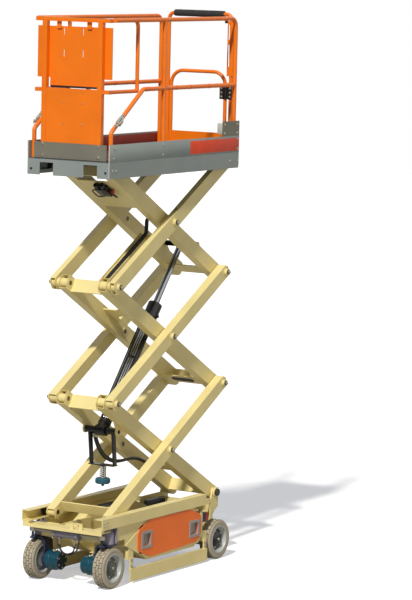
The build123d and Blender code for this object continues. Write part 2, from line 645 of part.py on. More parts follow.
TOP_RAIL = RAIL_HEIGHT - TUBE_R
guard_rail = deck_pipe([(-885, GUARD_Y, FLOOR_TOP), (-885, GUARD_Y, TOP_RAIL), (865, GUARD_Y, TOP_RAIL)])
lower = [(-885, GUARD_Y, MID_RAIL), (460, GUARD_Y, MID_RAIL), (895, GUARD_Y, 352), (895, GUARD_Y, FLOOR_TOP)]
guard_rail += deck_pipe(lower, bend=40.0)
guard_rail += deck_pipe([(164, GUARD_Y, FLOOR_TOP), (164, GUARD_Y, TOP_RAIL)])
save("side_rails", both_sides(guard_rail))

GATE_X = -915.0
GATE_TOP = 1232.0
GATE_FOOT = FLOOR_TOP + 20
STILE_Y = (270.0, 326.0)        # flat slotted stile on the hinge side
STILE_Z = (735.0, 1180.0)
gate = deck_pipe([
    (GATE_X, -300, GATE_FOOT), (GATE_X, -300, GATE_TOP),
    (GATE_X, 300, GATE_TOP), (GATE_X, 300, GATE_FOOT),
], 15, 50.0)
gate += deck_pipe([
    (GATE_X, -268, GATE_FOOT), (GATE_X, -268, 765),
    (GATE_X, 250, 765), (GATE_X, 250, GATE_FOOT),
], 15, 110.0)
gate += deck(GATE_X - 3, GATE_X + 3, -300, 300, FLOOR_TOP + 10, FLOOR_TOP + 145)
stile = deck(GATE_X + 10, GATE_X + 16, *STILE_Y, *STILE_Z)
for z, height in ((1090, 120), (900, 180)):
    slot = SlotOverall(height, 12, rotation=90)
    cut = extrude(Plane.YZ * slot, 20, both=True)
    stile -= Pos(GATE_X + 13, 284, DECK_Z + z) * cut
gate += stile
for y0, y1 in ((222, 262), (318, 344)):
    gate += deck(GATE_X - 17, GATE_X - 11, y0, y1, 556, 650)
gate += deck(GATE_X - 17, GATE_X - 11, 222, 344, 590, 616)
save("rear_gate", gate)
sleeve = drum_y(GATE_X, DECK_Z + GATE_TOP, -245, 228, 28)
save("gate_grip_sleeve", sleeve - drum_y(GATE_X, DECK_Z + GATE_TOP, -246, 229, 15.3))

EXT_Y = 318.0
EXT_X = 900.0
POST_Y = (236.0, 278.0)
EXT_TOP = TOP_RAIL - 4
EXT_MID = 657.0
EXT_LEG_X = 490.0
HALF_TUBE = 15.0
save("extension_floor", deck(-20, 919, -334, 334, FLOOR_TOP + 5, FLOOR_TOP + 12))
ext = Part()
for y in (-EXT_Y, EXT_Y):
    ext += deck_pipe([(EXT_LEG_X, y, EXT_MID), (EXT_LEG_X, y, EXT_TOP), (EXT_X, y, EXT_TOP)], HALF_TUBE, 50.0)
    ext += deck_pipe([(EXT_LEG_X, y, EXT_MID), (EXT_X, y, EXT_MID)], HALF_TUBE)
for z in (EXT_MID, EXT_TOP):
    ext += deck(EXT_X - HALF_TUBE, EXT_X + HALF_TUBE, -343, 343, z - HALF_TUBE, z + HALF_TUBE)
for y0, y1 in (POST_Y, (-POST_Y[1], -POST_Y[0])):
    ext += deck(EXT_X - 19, EXT_X + 19, y0, y1, FLOOR_TOP + 12, EXT_TOP)
for y0 in (-160, 120):
    ext += deck(EXT_X - 12, EXT_X - 6, y0, y0 + 40, 1130, EXT_TOP - 5)
save("extension_rails", ext)
panels = [
    deck(EXT_X + 12, EXT_X + 15, -POST_Y[0], POST_Y[0], FLOOR_TOP + 12, EXT_MID - HALF_TUBE),
    deck(EXT_X - 26, EXT_X - 20, -345, 345, 752, 1146) + deck(EXT_X - 26, EXT_X - 20, -226, 236, 686, 753),
    deck(EXT_X + 19, EXT_X + 24, -337, 337, 131, 255),
]
for y in (-102, 74):
    for z in (940, 1108):
        panels[1] -= deck(EXT_X - 27, EXT_X - 19, y - 4, y + 4, z - 26, z + 26)
save("extension_panels", panels)
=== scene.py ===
# %% [markdown]
# # Electric slab scissor lift
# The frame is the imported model: steel arms, wheels, deck and rails at their real size and place.
# This notebook gives each piece its finish and adds what is too small or too soft for the frame.
# Everything is in metres. +X is the steered end, +Y the left side and +Z up.

# %% Load the frame
import math

import bpy
from mathutils import Matrix, Vector


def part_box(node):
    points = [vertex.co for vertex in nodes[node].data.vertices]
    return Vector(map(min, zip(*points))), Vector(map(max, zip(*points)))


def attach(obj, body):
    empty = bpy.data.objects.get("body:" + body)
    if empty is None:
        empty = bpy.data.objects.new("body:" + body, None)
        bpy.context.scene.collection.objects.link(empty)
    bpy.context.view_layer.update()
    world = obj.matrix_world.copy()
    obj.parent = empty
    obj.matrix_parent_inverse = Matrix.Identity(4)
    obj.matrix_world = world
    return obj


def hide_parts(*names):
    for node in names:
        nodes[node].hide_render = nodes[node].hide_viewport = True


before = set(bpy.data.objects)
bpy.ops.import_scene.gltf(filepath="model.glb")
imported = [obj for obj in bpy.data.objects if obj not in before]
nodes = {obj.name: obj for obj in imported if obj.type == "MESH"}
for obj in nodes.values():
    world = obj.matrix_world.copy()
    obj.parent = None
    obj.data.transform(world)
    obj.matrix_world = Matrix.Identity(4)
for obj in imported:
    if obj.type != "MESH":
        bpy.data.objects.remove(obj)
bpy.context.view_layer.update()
print("frame nodes:", len(nodes))

# %% [markdown]
# ## Camera
# A brochure picture of a tall machine is taken from far away with a long lens, so that the
# uprights stay upright. The camera stands to the front left, a little above the horizon,
# and is turned about its own axis by about a degree.

# %% Camera
VIEW_AZIMUTH = math.radians(31.96)
VIEW_HEIGHT = math.radians(6.45)
VIEW_ROLL = math.radians(1.29)
VIEW_DISTANCE = 26.37
VIEW_TARGET = Vector((-1.094, 0, 2.071))
LENS = 192.0
FILM = 36.0

backward = Vector((
    math.cos(VIEW_AZIMUTH) * math.cos(VIEW_HEIGHT),
    math.sin(VIEW_AZIMUTH) * math.cos(VIEW_HEIGHT),
    math.sin(VIEW_HEIGHT),
))
camera_data = bpy.data.cameras.new("camera")
camera_data.lens = LENS
camera_data.sensor_fit = "VERTICAL"
camera_data.sensor_height = FILM
camera = bpy.data.objects.new("camera", camera_data)
bpy.context.scene.collection.objects.link(camera)
aim = backward.to_track_quat("Z", "Y").to_matrix().to_4x4()
roll = Matrix.Rotation(VIEW_ROLL, 4, "Z")
camera.matrix_world = Matrix.Translation(VIEW_TARGET + backward * VIEW_DISTANCE) @ aim @ roll
bpy.context.scene.camera = camera
print("camera at", [round(v, 2) for v in camera.matrix_world.translation])

# %% [markdown]
# ## Studio
# The machine stands on a plain white floor. One lamp high at the front makes the top faces
# brightest and leaves the left side in half shade. A picture of a real sky could light it too, but
# lamps keep the shadow where it is wanted.

# %% Colour and node helpers
scene = bpy.context.scene
scene.view_settings.view_transform = "Standard"


def linear(code):
    """A six-digit sRGB colour as linear red, green, blue, alpha."""
    parts = [int(code[i:i + 2], 16) / 255 for i in (0, 2, 4)]
    return tuple(c / 12.92 if c < 0.04045 else ((c + 0.055) / 1.055) ** 2.4 for c in parts) + (1,)


def add(tree, kind, inputs=None, **settings):
    """Add a shader node. inputs maps a socket's name or number to a value or another socket."""
    node = tree.nodes.new("ShaderNode" + kind)
    for key, value in settings.items():
        setattr(node, key, value)
    for key, value in (inputs or {}).items():
        if isinstance(value, bpy.types.NodeSocket):
            tree.links.new(value, node.inputs[key])
        else:
            node.inputs[key].default_value = value
    return node


def empty_material(name):
    """A node material that has no nodes yet."""
    material = bpy.data.materials.new(name)
    material.use_nodes = True
    material.node_tree.nodes.clear()
    return material, material.node_tree


print("mid grey as linear light:", [round(c, 3) for c in linear("808080")])

# %% [markdown]
# ## World
# The world is a white softbox that lights little and mostly gives the metals something to reflect.
# A black flag on one side of it puts a dark edge beside each highlight, so that the rod and the
# bolts read as metal. Only shiny surfaces see the flag; the background stays white.

# %% White world with a black flag
AMBIENT = 0.17
FLAG_AZIMUTH = math.radians(-62)
FLAG_EDGE = (0.55, 0.80)    # cosines of the angles from its middle where the flag ends and is full
FLAG_SHINE = 0.06
world = bpy.data.worlds.new("softbox")
scene.world = world
world.use_nodes = True
sky = world.node_tree
sky.nodes.clear()
ray = add(sky, "LightPath").outputs
seen = add(sky, "Math", {0: ray["Is Camera Ray"], 1: ray["Is Glossy Ray"]}, operation="MAXIMUM")
seen = add(sky, "Math", {0: seen.outputs[0], 1: ray["Is Transmission Ray"]}, operation="MAXIMUM")
toward_flag = (-math.cos(FLAG_AZIMUTH), -math.sin(FLAG_AZIMUTH), 0)
incoming = add(sky, "NewGeometry").outputs["Incoming"]
aside = add(sky, "VectorMath", {0: incoming, 1: toward_flag}, operation="DOT_PRODUCT")
flag = add(sky, "MapRange", {
    0: aside.outputs["Value"], 1: FLAG_EDGE[0], 2: FLAG_EDGE[1], 3: 1.0, 4: FLAG_SHINE})
shine = add(sky, "Math", {0: flag.outputs[0], 1: ray["Is Camera Ray"]}, operation="MAXIMUM")
level = add(sky, "MapRange", {0: seen.outputs[0], 3: AMBIENT, 4: shine.outputs[0]})
backdrop = add(sky, "Background", {"Color": linear("FFFFFF"), "Strength": level.outputs[0]})
add(sky, "OutputWorld", {"Surface": backdrop.outputs[0]})
print("softbox nodes:", len(sky.nodes))

# %% [markdown]
# ## Floor
# A white floor throws a lot of light up under a machine. So the camera sees a bright floor with a
# slight cool glow, and every other ray meets a greyer one that bounces less.

# %% Floor
FLOOR_GLOW = 0.46
FLOOR_SIZE = 80
floor_material, tree = empty_material("white_studio_floor")
ray = add(tree, "LightPath").outputs
matt = add(tree, "BsdfDiffuse", {"Color": linear("FAFAFA")})
glow = add(tree, "Emission", {"Color": linear("EDF1FA"), "Strength": FLOOR_GLOW})
lit = add(tree, "AddShader", {0: matt.outputs[0], 1: glow.outputs[0]})
dim = add(tree, "BsdfDiffuse", {"Color": linear("BEBEBE")})
pick = add(tree, "MixShader", {0: ray["Is Camera Ray"], 1: dim.outputs[0], 2: lit.outputs[0]})
add(tree, "OutputMaterial", {"Surface": pick.outputs[0]})

bpy.ops.mesh.primitive_plane_add(size=FLOOR_SIZE, location=(0, 0, 0))
floor = bpy.context.object
floor.name = "studio_floor"
floor.data.materials.append(floor_material)
print("floor of", FLOOR_SIZE, "m")

# %% [markdown]
# ## Lamps
# A sun lamp shines the same way everywhere, which suits a tall machine. The key lamp is narrow, so
# the arms throw crisp shadows on each other. The fill is wide and warm and lifts the left side.

# %% Lamps


def lamp(name, azimuth, height, strength, angle, colour):
    """A sun lamp shining from an azimuth (from +X towards +Y) and height, both in degrees."""
    data = bpy.data.lights.new(name, "SUN")
    data.color = linear(colour)[:3]
    data.energy = strength
    data.angle = math.radians(angle)
    rig = bpy.data.objects.new(name, data)
    scene.collection.objects.link(rig)
    a, h = math.radians(azimuth), math.radians(height)
    source = Vector((math.cos(a) * math.cos(h), math.sin(a) * math.cos(h), math.sin(h)))
    rig.rotation_euler = source.to_track_quat("Z", "Y").to_euler()
    print(name, "at", azimuth, "and", height, "degrees")


lamp("key_softbox", 14, 44, 3.15, 3, "FFFBF3")
lamp("side_fill", 95, 25, 0.24, 60, "FFF3D2")

# %% [markdown]
# ## Powder-coated steel
# Most of the machine is powder-coated steel: an even colour that drifts a little, a faint orange
# peel, and thin bright edges where the coat is rubbed. A flat colour would do from far away. The
# Bevel node rounds the sharp edges of the frame in the shading alone, and where it bends the
# surface most, the coat is worn. Some pieces have two colours, such as a sand axle with grey
# housings, so a patch paints the part that lies between two distances from the middle.

# %% Two colours on one piece
MM = 0.001


def inside(tree, place, axis, low, high):
    """1 where the size of a point's X, Y or Z (axis 0, 1 or 2) lies between low and high."""
    value = add(tree, "SeparateXYZ", {0: place}).outputs[axis]
    size = add(tree, "Math", {0: value}, operation="ABSOLUTE")
    middle, half = (low + high) / 2, (high - low) / 2
    near = add(tree, "Math", {0: size.outputs[0], 1: middle, 2: half}, operation="COMPARE")
    return near.outputs[0]


def base_colour(tree, place, colour, patch):
    """A plain colour, or two where there is a patch: (second colour, axis, low, high)."""
    if not patch:
        return linear(colour)
    second, axis, low, high = patch
    mask = inside(tree, place, axis, low, high)
    both = add(tree, "Mix", {"Factor": mask, "A": linear(colour), "B": linear(second)},
               data_type="RGBA")
    return both.outputs["Result"]


def drifting(tree, place, base, size_mm, detail, drift):
    """A base colour that gets a little lighter and darker in soft clouds of a given size."""
    cloud = add(tree, "TexNoise", {
        "Vector": place, "Scale": 1 / (size_mm * MM), "Detail": detail})
    shade = add(tree, "MapRange", {
        0: cloud.outputs["Fac"], 1: 0.3, 2: 0.7, 3: 1 - drift, 4: 1 + drift})
    plain = base if isinstance(base, bpy.types.NodeSocket) else base[:3]
    return add(tree, "VectorMath", {0: plain, "Scale": shade.outputs[0]}, operation="SCALE")


print("clouds and patches ready")

# %% Powder coat
WEAR_EDGE = (0.985, 0.93)    # how far the rounded surface has turned where wear starts and is full
WEAR_MOST = 0.55


def powder_coat(name, colour, rubbed, roughness=0.42, patch=None):
    """Baked coat on steel; rubbed is the colour of its worn edges."""
    material, tree = empty_material(name)
    place = add(tree, "TexCoord").outputs["Object"]
    tint = drifting(tree, place, base_colour(tree, place, colour, patch), 220, 4.0, 0.06)
    corner = add(tree, "Bevel", {"Radius": 3 * MM}, samples=4)
    flat = add(tree, "NewGeometry").outputs["Normal"]
    turn = add(tree, "VectorMath", {0: corner.outputs[0], 1: flat}, operation="DOT_PRODUCT")
    scuff = add(tree, "TexNoise", {"Vector": place, "Scale": 1 / (18 * MM), "Detail": 3.0})
    edge = add(tree, "MapRange", {
        0: turn.outputs["Value"], 1: WEAR_EDGE[0], 2: WEAR_EDGE[1], 3: 0.0, 4: WEAR_MOST})
    wear = add(tree, "Math", {0: edge.outputs[0], 1: scuff.outputs["Fac"]}, operation="MULTIPLY")
    skin = add(tree, "Mix", {"Factor": wear.outputs[0], "A": tint.outputs[0], "B": linear(rubbed)},
               data_type="RGBA")
    peel = add(tree, "TexNoise", {"Vector": place, "Scale": 1 / (4 * MM), "Detail": 2.0})
    bump = add(tree, "Bump", {
        "Height": peel.outputs["Fac"], "Strength": 0.05, "Distance": 1 * MM, "Normal": corner.outputs[0]})
    coat = add(tree, "BsdfPrincipled", {
        "Base Color": skin.outputs["Result"], "Roughness": roughness, "Normal": bump.outputs[0]})
    add(tree, "OutputMaterial", {"Surface": coat.outputs[0]})
    return material


print("powder coat ready")

# %% Coats on this machine
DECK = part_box("deck_frame")[0][2]
X, Y, Z = range(3)
TOE_PLATE = ("77756A", X, 0.9175, 1)
HINGE_LEAVES = ("2E2D28", X, 0.9305, 1)
DOOR_SHEET = ("FA7414", Y, 0.3662, 0.3743)
TOP_STRIP = ("6F6D5E", Z, DECK + 0.2605, 9)
AXLE_HOUSINGS = ("8C8898", Y, 0.2835, 0.40)
MOTOR_CAP = ("0B2028", Y, 0.0, 0.1125)
KINGPINS = ("77738A", Z, 0.4405, 0.47)
SAND = powder_coat("sand_powder_coat", "E8D898", "F4E6B0")
ORANGE = powder_coat("orange_powder_coat", "F2790A", "F9A055", 0.38)
PANEL_ORANGE = powder_coat("orange_and_olive_panels", "F2790A", "F9A055", 0.38, TOE_PLATE)
GATE_ORANGE = powder_coat("orange_gate_dark_hinges", "F2790A", "F9A055", 0.38, HINGE_LEAVES)
DOOR_ORANGE = powder_coat("orange_door_grey_holds", "9A9C98", "C9CAC6", 0.38, DOOR_SHEET)
DECK_GREY = powder_coat("blue_grey_powder_coat", "8A9392", "B9C0C0", patch=TOP_STRIP)
# Pale grey coat, also used for the painted highlight on the deck's front corners.
AXLE_SAND = powder_coat("sand_axle_grey_housings", "E8D898", "F4E6B0", patch=AXLE_HOUSINGS)
PALE_GREY = powder_coat("pale_grey_coat_and_painted_highlight", "C6CAC6", "DADCD8")
FLOOR_GREY = powder_coat("charcoal_grip_paint", "4C5052", "85898A", 0.7)
WHEEL_GREY = powder_coat("pale_wheel_coat", "AEB2AF", "D4D6D2")
HUB_GREY = powder_coat("grey_green_hub_coat", "4E544C", "7A8078")
GLOSS_BLACK = powder_coat("black_cylinder_enamel", "111315", "3C4044", 0.28)
TEAL = powder_coat("teal_motor_enamel", "0C4557", "3B7787", 0.3, MOTOR_CAP)
VIOLET_GREY = powder_coat("violet_grey_enamel", "8A8698", "B2AEBC", 0.35)
NAVY = powder_coat("navy_casting_grey_kingpins", "232B45", "8089A0", 0.3, KINGPINS)
print("coats:", len(bpy.data.materials))

# %% [markdown]
# ## Bare metals
# Pins, bolts, pipes and the rod are plated, oiled or chromed steel. A metal has no colour under its
# shine, so the base colour is what it reflects. A fine grain breaks the reflections up, as a lathe
# or a plating bath leaves it.

# %% Bare metals


def bare_metal(name, colour, roughness, grain_mm, grain_depth, patch=None):
    """Turned or plated steel: a metal with a fine grain; patch as for a coat."""
    material, tree = empty_material(name)
    place = add(tree, "TexCoord").outputs["Object"]
    grain = add(tree, "TexNoise", {"Vector": place, "Scale": 1 / (grain_mm * MM), "Detail": 5.0})
    corner = add(tree, "Bevel", {"Radius": 1.5 * MM}, samples=4)
    bump = add(tree, "Bump", {
        "Height": grain.outputs["Fac"], "Strength": grain_depth, "Distance": 0.5 * MM,
        "Normal": corner.outputs[0]})
    gloss = add(tree, "MapRange", {
        0: grain.outputs["Fac"], 3: roughness * 0.75, 4: roughness * 1.25})
    base = base_colour(tree, place, colour, patch)
    metal = add(tree, "BsdfPrincipled", {
        "Base Color": base, "Metallic": 1.0, "Roughness": gloss.outputs[0], "Normal": bump.outputs[0]})
    add(tree, "OutputMaterial", {"Surface": metal.outputs[0]})
    return material


ZINC = bare_metal("zinc_plated_steel", "B9B4A6", 0.38, 6, 0.12)
CROSS_BAR = ("16181B", Y, 0.0335, 0.2)
CHROME = bare_metal("hard_chrome_rod_dark_bar", "9298A2", 0.16, 3, 0.03, CROSS_BAR)
DARK_STEEL = bare_metal("oiled_steel_pins", "59544A", 0.36, 5, 0.1)
LINE_STEEL = bare_metal("drawn_steel_lines", "96989A", 0.26, 4, 0.05)
print("materials:", len(bpy.data.materials))

# %% [markdown]
# ## Rubber and plastic
# Tyres, hoses, mats and knobs come out of moulds. They have no metal in them. A slight bloom and a
# fine grain keep them from looking like paint.

# %% Rubber and plastic


def moulded(name, colour, roughness, grain_mm, grain_depth, drift=0.08):
    """Rubber or plastic from a mould: a fine grain and a slightly uneven bloom."""
    material, tree = empty_material(name)
    place = add(tree, "TexCoord").outputs["Object"]
    tint = drifting(tree, place, linear(colour), 60, 5.0, drift)
    grain = add(tree, "TexNoise", {"Vector": place, "Scale": 1 / (grain_mm * MM), "Detail": 2.0})
    bump = add(tree, "Bump", {
        "Height": grain.outputs["Fac"], "Strength": grain_depth, "Distance": 1 * MM})
    body = add(tree, "BsdfPrincipled", {
        "Base Color": tint.outputs[0], "Roughness": roughness, "Normal": bump.outputs[0]})
    add(tree, "OutputMaterial", {"Surface": body.outputs[0]})
    return material


TYRE_RUBBER = moulded("non_marking_tyre_rubber", "ADA38F", 0.8, 3, 0.2)
# Painted shade: the grooves of the tread get a darker rubber than the tyre.
GROOVE_SHADE_RUBBER = moulded("painted_shade_in_the_grooves", "5E574A", 0.9, 3, 0.2)
RED_PLASTIC = moulded("red_connector_shell", "A8201C", 0.45, 3, 0.08)
BLACK_PLASTIC = moulded("black_nylon", "1B1B1C", 0.5, 2, 0.1)
PAD_RUBBER = moulded("teal_bump_rubber", "1B5566", 0.6, 2, 0.15)
BATTERY_CASE = moulded("black_polypropylene", "202124", 0.45, 4, 0.1)
print("materials:", len(bpy.data.materials))

# %% [markdown]
# ## Finishes on the frame
# Each node of the frame keeps its shape and gets its real finish by the first words of its name.
# Where two rows fit, the later one wins: an extension panel isn't plain orange.

# %% Dress the frame
DRESS = [
    ("inner_arms outer_arms cross_plates outer_cross hose_tray chassis_rails rear_frame", SAND),
    ("side_boxes pothole_guard front_member floor_pan", SAND),
    ("front_axle", AXLE_SAND),
    ("side_rails extension", ORANGE),
    ("extension_panels", PANEL_ORANGE),
    ("rear_gate", GATE_ORANGE),
    ("side_door", DOOR_ORANGE),
    ("deck_frame", DECK_GREY),
    ("deck_floor extension_floor", FLOOR_GREY),
    ("steering_rod snubber_spring", ZINC),
    ("scissor_pins base_pins", DARK_STEEL),
    ("lower_rollers upper_rollers", BLACK_PLASTIC),
    ("cylinder_base_bar cylinder_barrel power_unit", GLOSS_BLACK),
    ("lift_hose tray_hoses steering_hoses gate_grip", BLACK_PLASTIC),
    ("cylinder_rod", CHROME),
    ("snubber_pad", PAD_RUBBER),
    ("batteries", BATTERY_CASE),
    ("drive_motor", TEAL),
    ("steering_cylinder", VIOLET_GREY),
    ("knuckle", NAVY),
    ("tyre", TYRE_RUBBER),
    ("wheel", WHEEL_GREY),
]


def dress(node, material):
    """Give a node of the frame one material."""
    node.data.materials.clear()
    node.data.materials.append(material)


for name, node in nodes.items():
    matches = [finish for words, finish in DRESS if name.startswith(tuple(words.split()))]
    dress(node, matches[-1])
print("dressed", len(nodes), "nodes")

# %% [markdown]
# ## How the small pieces are made
# A lathe, a press and a pair of hands: most fittings are either turned, so a ring of points is
# extruded and scaled step by step, or cut from a block whose faces are pressed in or out.

# %% Turned pieces


def edit(kind, action):
    """Open the active piece for editing with all or none of its faces or edges selected."""
    bpy.ops.object.mode_set(mode="EDIT")
    bpy.ops.mesh.select_mode(type=kind)
    bpy.ops.mesh.select_all(action=action)


def leave():
    """Go back from editing to whole pieces."""
    bpy.ops.object.mode_set(mode="OBJECT")


def begin(name):
    """Name the new primitive and open it for editing with all of it selected."""
    piece = bpy.context.object
    piece.name = name
    edit("FACE", "SELECT")
    return piece


def bridge():
    """Join the two open rings of the piece."""
    bpy.ops.mesh.select_all(action="DESELECT")
    bpy.ops.mesh.select_non_manifold()
    bpy.ops.mesh.bridge_edge_loops()


def close_up():
    """Turn every face outwards and leave editing."""
    bpy.ops.mesh.select_all(action="SELECT")
    bpy.ops.mesh.normals_make_consistent(inside=False)
    leave()


def put(piece, matrix):
    """Bake a place into a piece's mesh."""
    piece.data.transform(matrix)
    if matrix.determinant() < 0:
        piece.data.flip_normals()
    piece.data.update()


def turned(name, profile, vertices, hollow=False):
    """A turned piece on Z from (radius, height) steps; hollow joins its last ring to its first."""
    radius, height = profile[0]
    fill = "NOTHING" if hollow else "NGON"
    bpy.ops.mesh.primitive_circle_add(
        vertices=vertices, radius=radius, location=(0, 0, height), fill_type=fill)
    piece = begin(name)
    edit("EDGE", "SELECT")
    for next_radius, next_height in profile[1:]:
        bpy.ops.mesh.extrude_region_move(TRANSFORM_OT_translate={"value": (0, 0, next_height - height)})
        grow = next_radius / radius
        bpy.ops.transform.resize(value=(grow, grow, 1))
        radius, height = next_radius, next_height
    if hollow:
        bridge()
    close_up()
    bpy.ops.object.transform_apply()
    return piece


print("lathe ready")

# %% Blocks


def alone(piece):
    """Make a piece the only selected and the active one."""
    bpy.ops.object.select_all(action="DESELECT")
    piece.select_set(True)
    bpy.context.view_layer.objects.active = piece


def round_off(piece, width):
    """Round every sharp edge."""
    bevel = piece.modifiers.new("edges", "BEVEL")
    bevel.width = width
    bevel.segments = 2
    bevel.limit_method = "ANGLE"
    bpy.context.view_layer.objects.active = piece
    bpy.ops.object.modifier_apply(modifier=bevel.name)


def block(name, low, high, bevel):
    """A block between two corners with rounded edges."""
    centre = (Vector(low) + Vector(high)) / 2
    size = Vector(high) - Vector(low)
    bpy.ops.mesh.primitive_cube_add(size=1, location=centre, scale=size)
    piece = begin(name)
    leave()
    bpy.ops.object.transform_apply()
    if bevel:
        round_off(piece, bevel)
    return piece


def press(piece, normal, margin, depth):
    """Inset the faces that look along normal and push them in."""
    alone(piece)
    for face in piece.data.polygons:
        face.select = face.normal.dot(Vector(normal)) > 0.99 and face.area > 4 * margin * margin
    bpy.ops.object.mode_set(mode="EDIT")
    bpy.ops.mesh.inset(thickness=margin, depth=-depth)
    leave()


print("press ready")

# %% [markdown]
# A fitting that repeats is made once at the origin and copied to its places, and the copies are
# joined. Each finished piece then gets its material, smooth shading and the body it rides on, so
# that it moves with the joints.

# %% Places and copies


def facing(point, direction):
    """Matrix that stands a piece made along +Z at a point, looking along direction."""
    turn = Vector(direction).to_track_quat("Z", "Y").to_matrix().to_4x4()
    return Matrix.Translation(Vector(point)) @ turn


def shift(x, y=0, z=0):
    """Matrix that moves a piece along the axes."""
    return Matrix.Translation((x, y, z))


def join(name, pieces):
    """One object from several."""
    bpy.ops.object.select_all(action="DESELECT")
    for piece in pieces:
        piece.select_set(True)
    bpy.context.view_layer.objects.active = pieces[0]
    if len(pieces) > 1:
        bpy.ops.object.join()
    pieces[0].name = name
    return pieces[0]


def copies(name, master, places):
    """Own-mesh copies of a master at several places, joined; the master is used up."""
    made = []
    for matrix in places:
        twin = master.copy()
        twin.data = master.data.copy()
        scene.collection.objects.link(twin)
        put(twin, matrix)
        made.append(twin)
    bpy.data.objects.remove(master)
    return join(name, made)


def on_side(sign, inner, outer):
    """Y limits between two distances from the middle, on the left (1) or the right (-1)."""
    return sorted((sign * inner, sign * outer))


print("copies ready")

# %% Finished pieces and wires


def settle(piece, body, material, angle=35):
    """Finish a piece: its material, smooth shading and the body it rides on."""
    piece.data.materials.clear()
    piece.data.materials.append(material)
    alone(piece)
    bpy.ops.object.shade_smooth_by_angle(angle=math.radians(angle))
    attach(piece, body)
    print(f"{piece.name}: {len(piece.data.polygons)} faces on {body}")


def plated(piece, body):
    """Finish a zinc-plated steel fitting."""
    settle(piece, body, ZINC)


def wire(name, points, radius, body, material):
    """A bent rod or cable along listed points: a smooth curve with a round section."""
    line = bpy.data.curves.new(name, "CURVE")
    line.dimensions = "3D"
    line.bevel_depth = radius
    line.bevel_resolution = 4
    line.resolution_u = 10
    line.use_fill_caps = True
    spline = line.splines.new("NURBS")
    spline.points.add(len(points) - 1)
    for point, at in zip(spline.points, points):
        point.co = (*at, 1)
    spline.order_u = 3
    spline.use_endpoint_u = True
    piece = bpy.data.objects.new(name, line)
    scene.collection.objects.link(piece)
    line.materials.append(material)
    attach(piece, body)
    print(f"{piece.name}: a wire of {len(points)} points on {body}")
    return piece


SIDES = {"left": 1, "right": -1}
WHEELS = [(end, f"{end}_{side}", sign) for end in ("front", "rear") for side, sign in SIDES.items()]
DECK_NOSE, DECK_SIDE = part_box("deck_frame")[1][:2]
print("deck's lower edge at", round(DECK, 3))

# %% [markdown]
# ## Tyres
# Slab lifts run on solid non-marking rubber. The tread is a belt of shallow blocks parted by
# zigzag grooves: a cylinder is cut into three bands, every other point is pushed sideways, each
# face becomes a block by an inset, and the shoulders are pulled down to the rim. A bump map could
# draw the grooves, but not their outline.

# %% Tread
TREAD_COLUMNS = 48
COLUMN_TURN = math.tau / TREAD_COLUMNS
GROOVE = 0.0045
GROOVE_DEPTH = 0.0045
ZIGZAG = 0.005
SHOULDER = 0.011    # from the side of the tyre to the edge of its tread
WHOLE_FACE = 0.0003    # square metres; the walls of the grooves are smaller


def edit_edges(piece, wanted):
    """Select the edges whose two ends pass a test and open the piece for editing."""
    edit("EDGE", "DESELECT")
    leave()
    for edge in piece.data.edges:
        edge.select = wanted(*(piece.data.vertices[i].co for i in edge.vertices))
    bpy.ops.object.mode_set(mode="EDIT")
    bpy.ops.mesh.select_mode(type="EDGE")


def zigzag_belt(name, radius, width):
    """An open cylinder in three bands whose inner edges zigzag."""
    bpy.ops.mesh.primitive_cylinder_add(
        vertices=TREAD_COLUMNS, radius=radius, depth=width - 2 * SHOULDER, end_fill_type="NOTHING")
    piece = begin(name)
    edit_edges(piece, lambda a, b: abs(a.z - b.z) > 0.01)
    bpy.ops.mesh.subdivide(number_cuts=2)
    leave()
    for point in piece.data.vertices:
        if abs(point.co.z) < width / 4:
            count = round(math.atan2(point.co.y, point.co.x) / COLUMN_TURN - 0.5)
            point.co.z += ZIGZAG if count % 2 else -ZIGZAG
    return piece


def raise_blocks(piece, width):
    """Inset the faces of the belt into blocks, two columns of one band at a time."""
    for band in (-1, 0, 1):
        for turn in (0, 2):
            edit("FACE", "DESELECT")
            leave()
            for face in piece.data.polygons:
                column = math.floor(math.atan2(face.center.y, face.center.x) / COLUMN_TURN)
                in_turn = (column + band % 2) % 4 in (turn, turn + 1)
                in_band = round(face.center.z / (width / 3.2)) == band
                face.select = face.area > WHOLE_FACE and in_band and in_turn
            bpy.ops.object.mode_set(mode="EDIT")
            bpy.ops.mesh.inset(thickness=GROOVE / 2, depth=GROOVE_DEPTH)
            leave()


print("tread of", 3 * TREAD_COLUMNS, "blocks")

# %% Treaded tyres


def pull_shoulder(piece, side, steps):
    """Draw the open edge of one side (1 or -1) through (radius, distance from the middle) steps."""
    (radius, at), *further = steps
    edit_edges(piece, lambda *ends: all(
        abs(p.z - side * at) < 1e-4 and abs(p.xy.length - radius) < 1e-3 for p in ends))
    for next_radius, next_at in further:
        bpy.ops.mesh.extrude_edges_move(TRANSFORM_OT_translate={"value": (0, 0, side * (next_at - at))})
        grow = next_radius / radius
        bpy.ops.transform.resize(value=(grow, grow, 1))
        radius, at = next_radius, next_at
    leave()


def treaded_tyre(name, radius, width, rim_radius):
    """A tyre on the Z axis, its tread cut in three rows of six-sided blocks."""
    base, half = radius - GROOVE_DEPTH, width / 2
    piece = zigzag_belt(name, base, width)
    raise_blocks(piece, width)
    for side in (1, -1):
        pull_shoulder(piece, side, [
            (base, half - SHOULDER), (radius - 0.006, half - 0.004), (radius - 0.013, half),
            (rim_radius + 0.012, half), (rim_radius, half - 0.003)])
    bpy.ops.object.mode_set(mode="EDIT")
    bridge()
    close_up()
    return piece


def darken_grooves(tyre, centre, radius, width):
    """Paint shade into the grooves: the faces that lie in them get a darker rubber."""
    tyre.data.materials.append(GROOVE_SHADE_RUBBER)
    deep = radius - GROOVE_DEPTH / 2
    edge = width / 2 - SHOULDER + 0.0005
    for face in tyre.data.polygons:
        corners = [tyre.data.vertices[i].co - centre for i in face.vertices]
        on_tread = all(abs(c.y) < edge for c in corners)
        face.material_index = int(on_tread and any(math.hypot(c.x, c.z) < deep for c in corners))


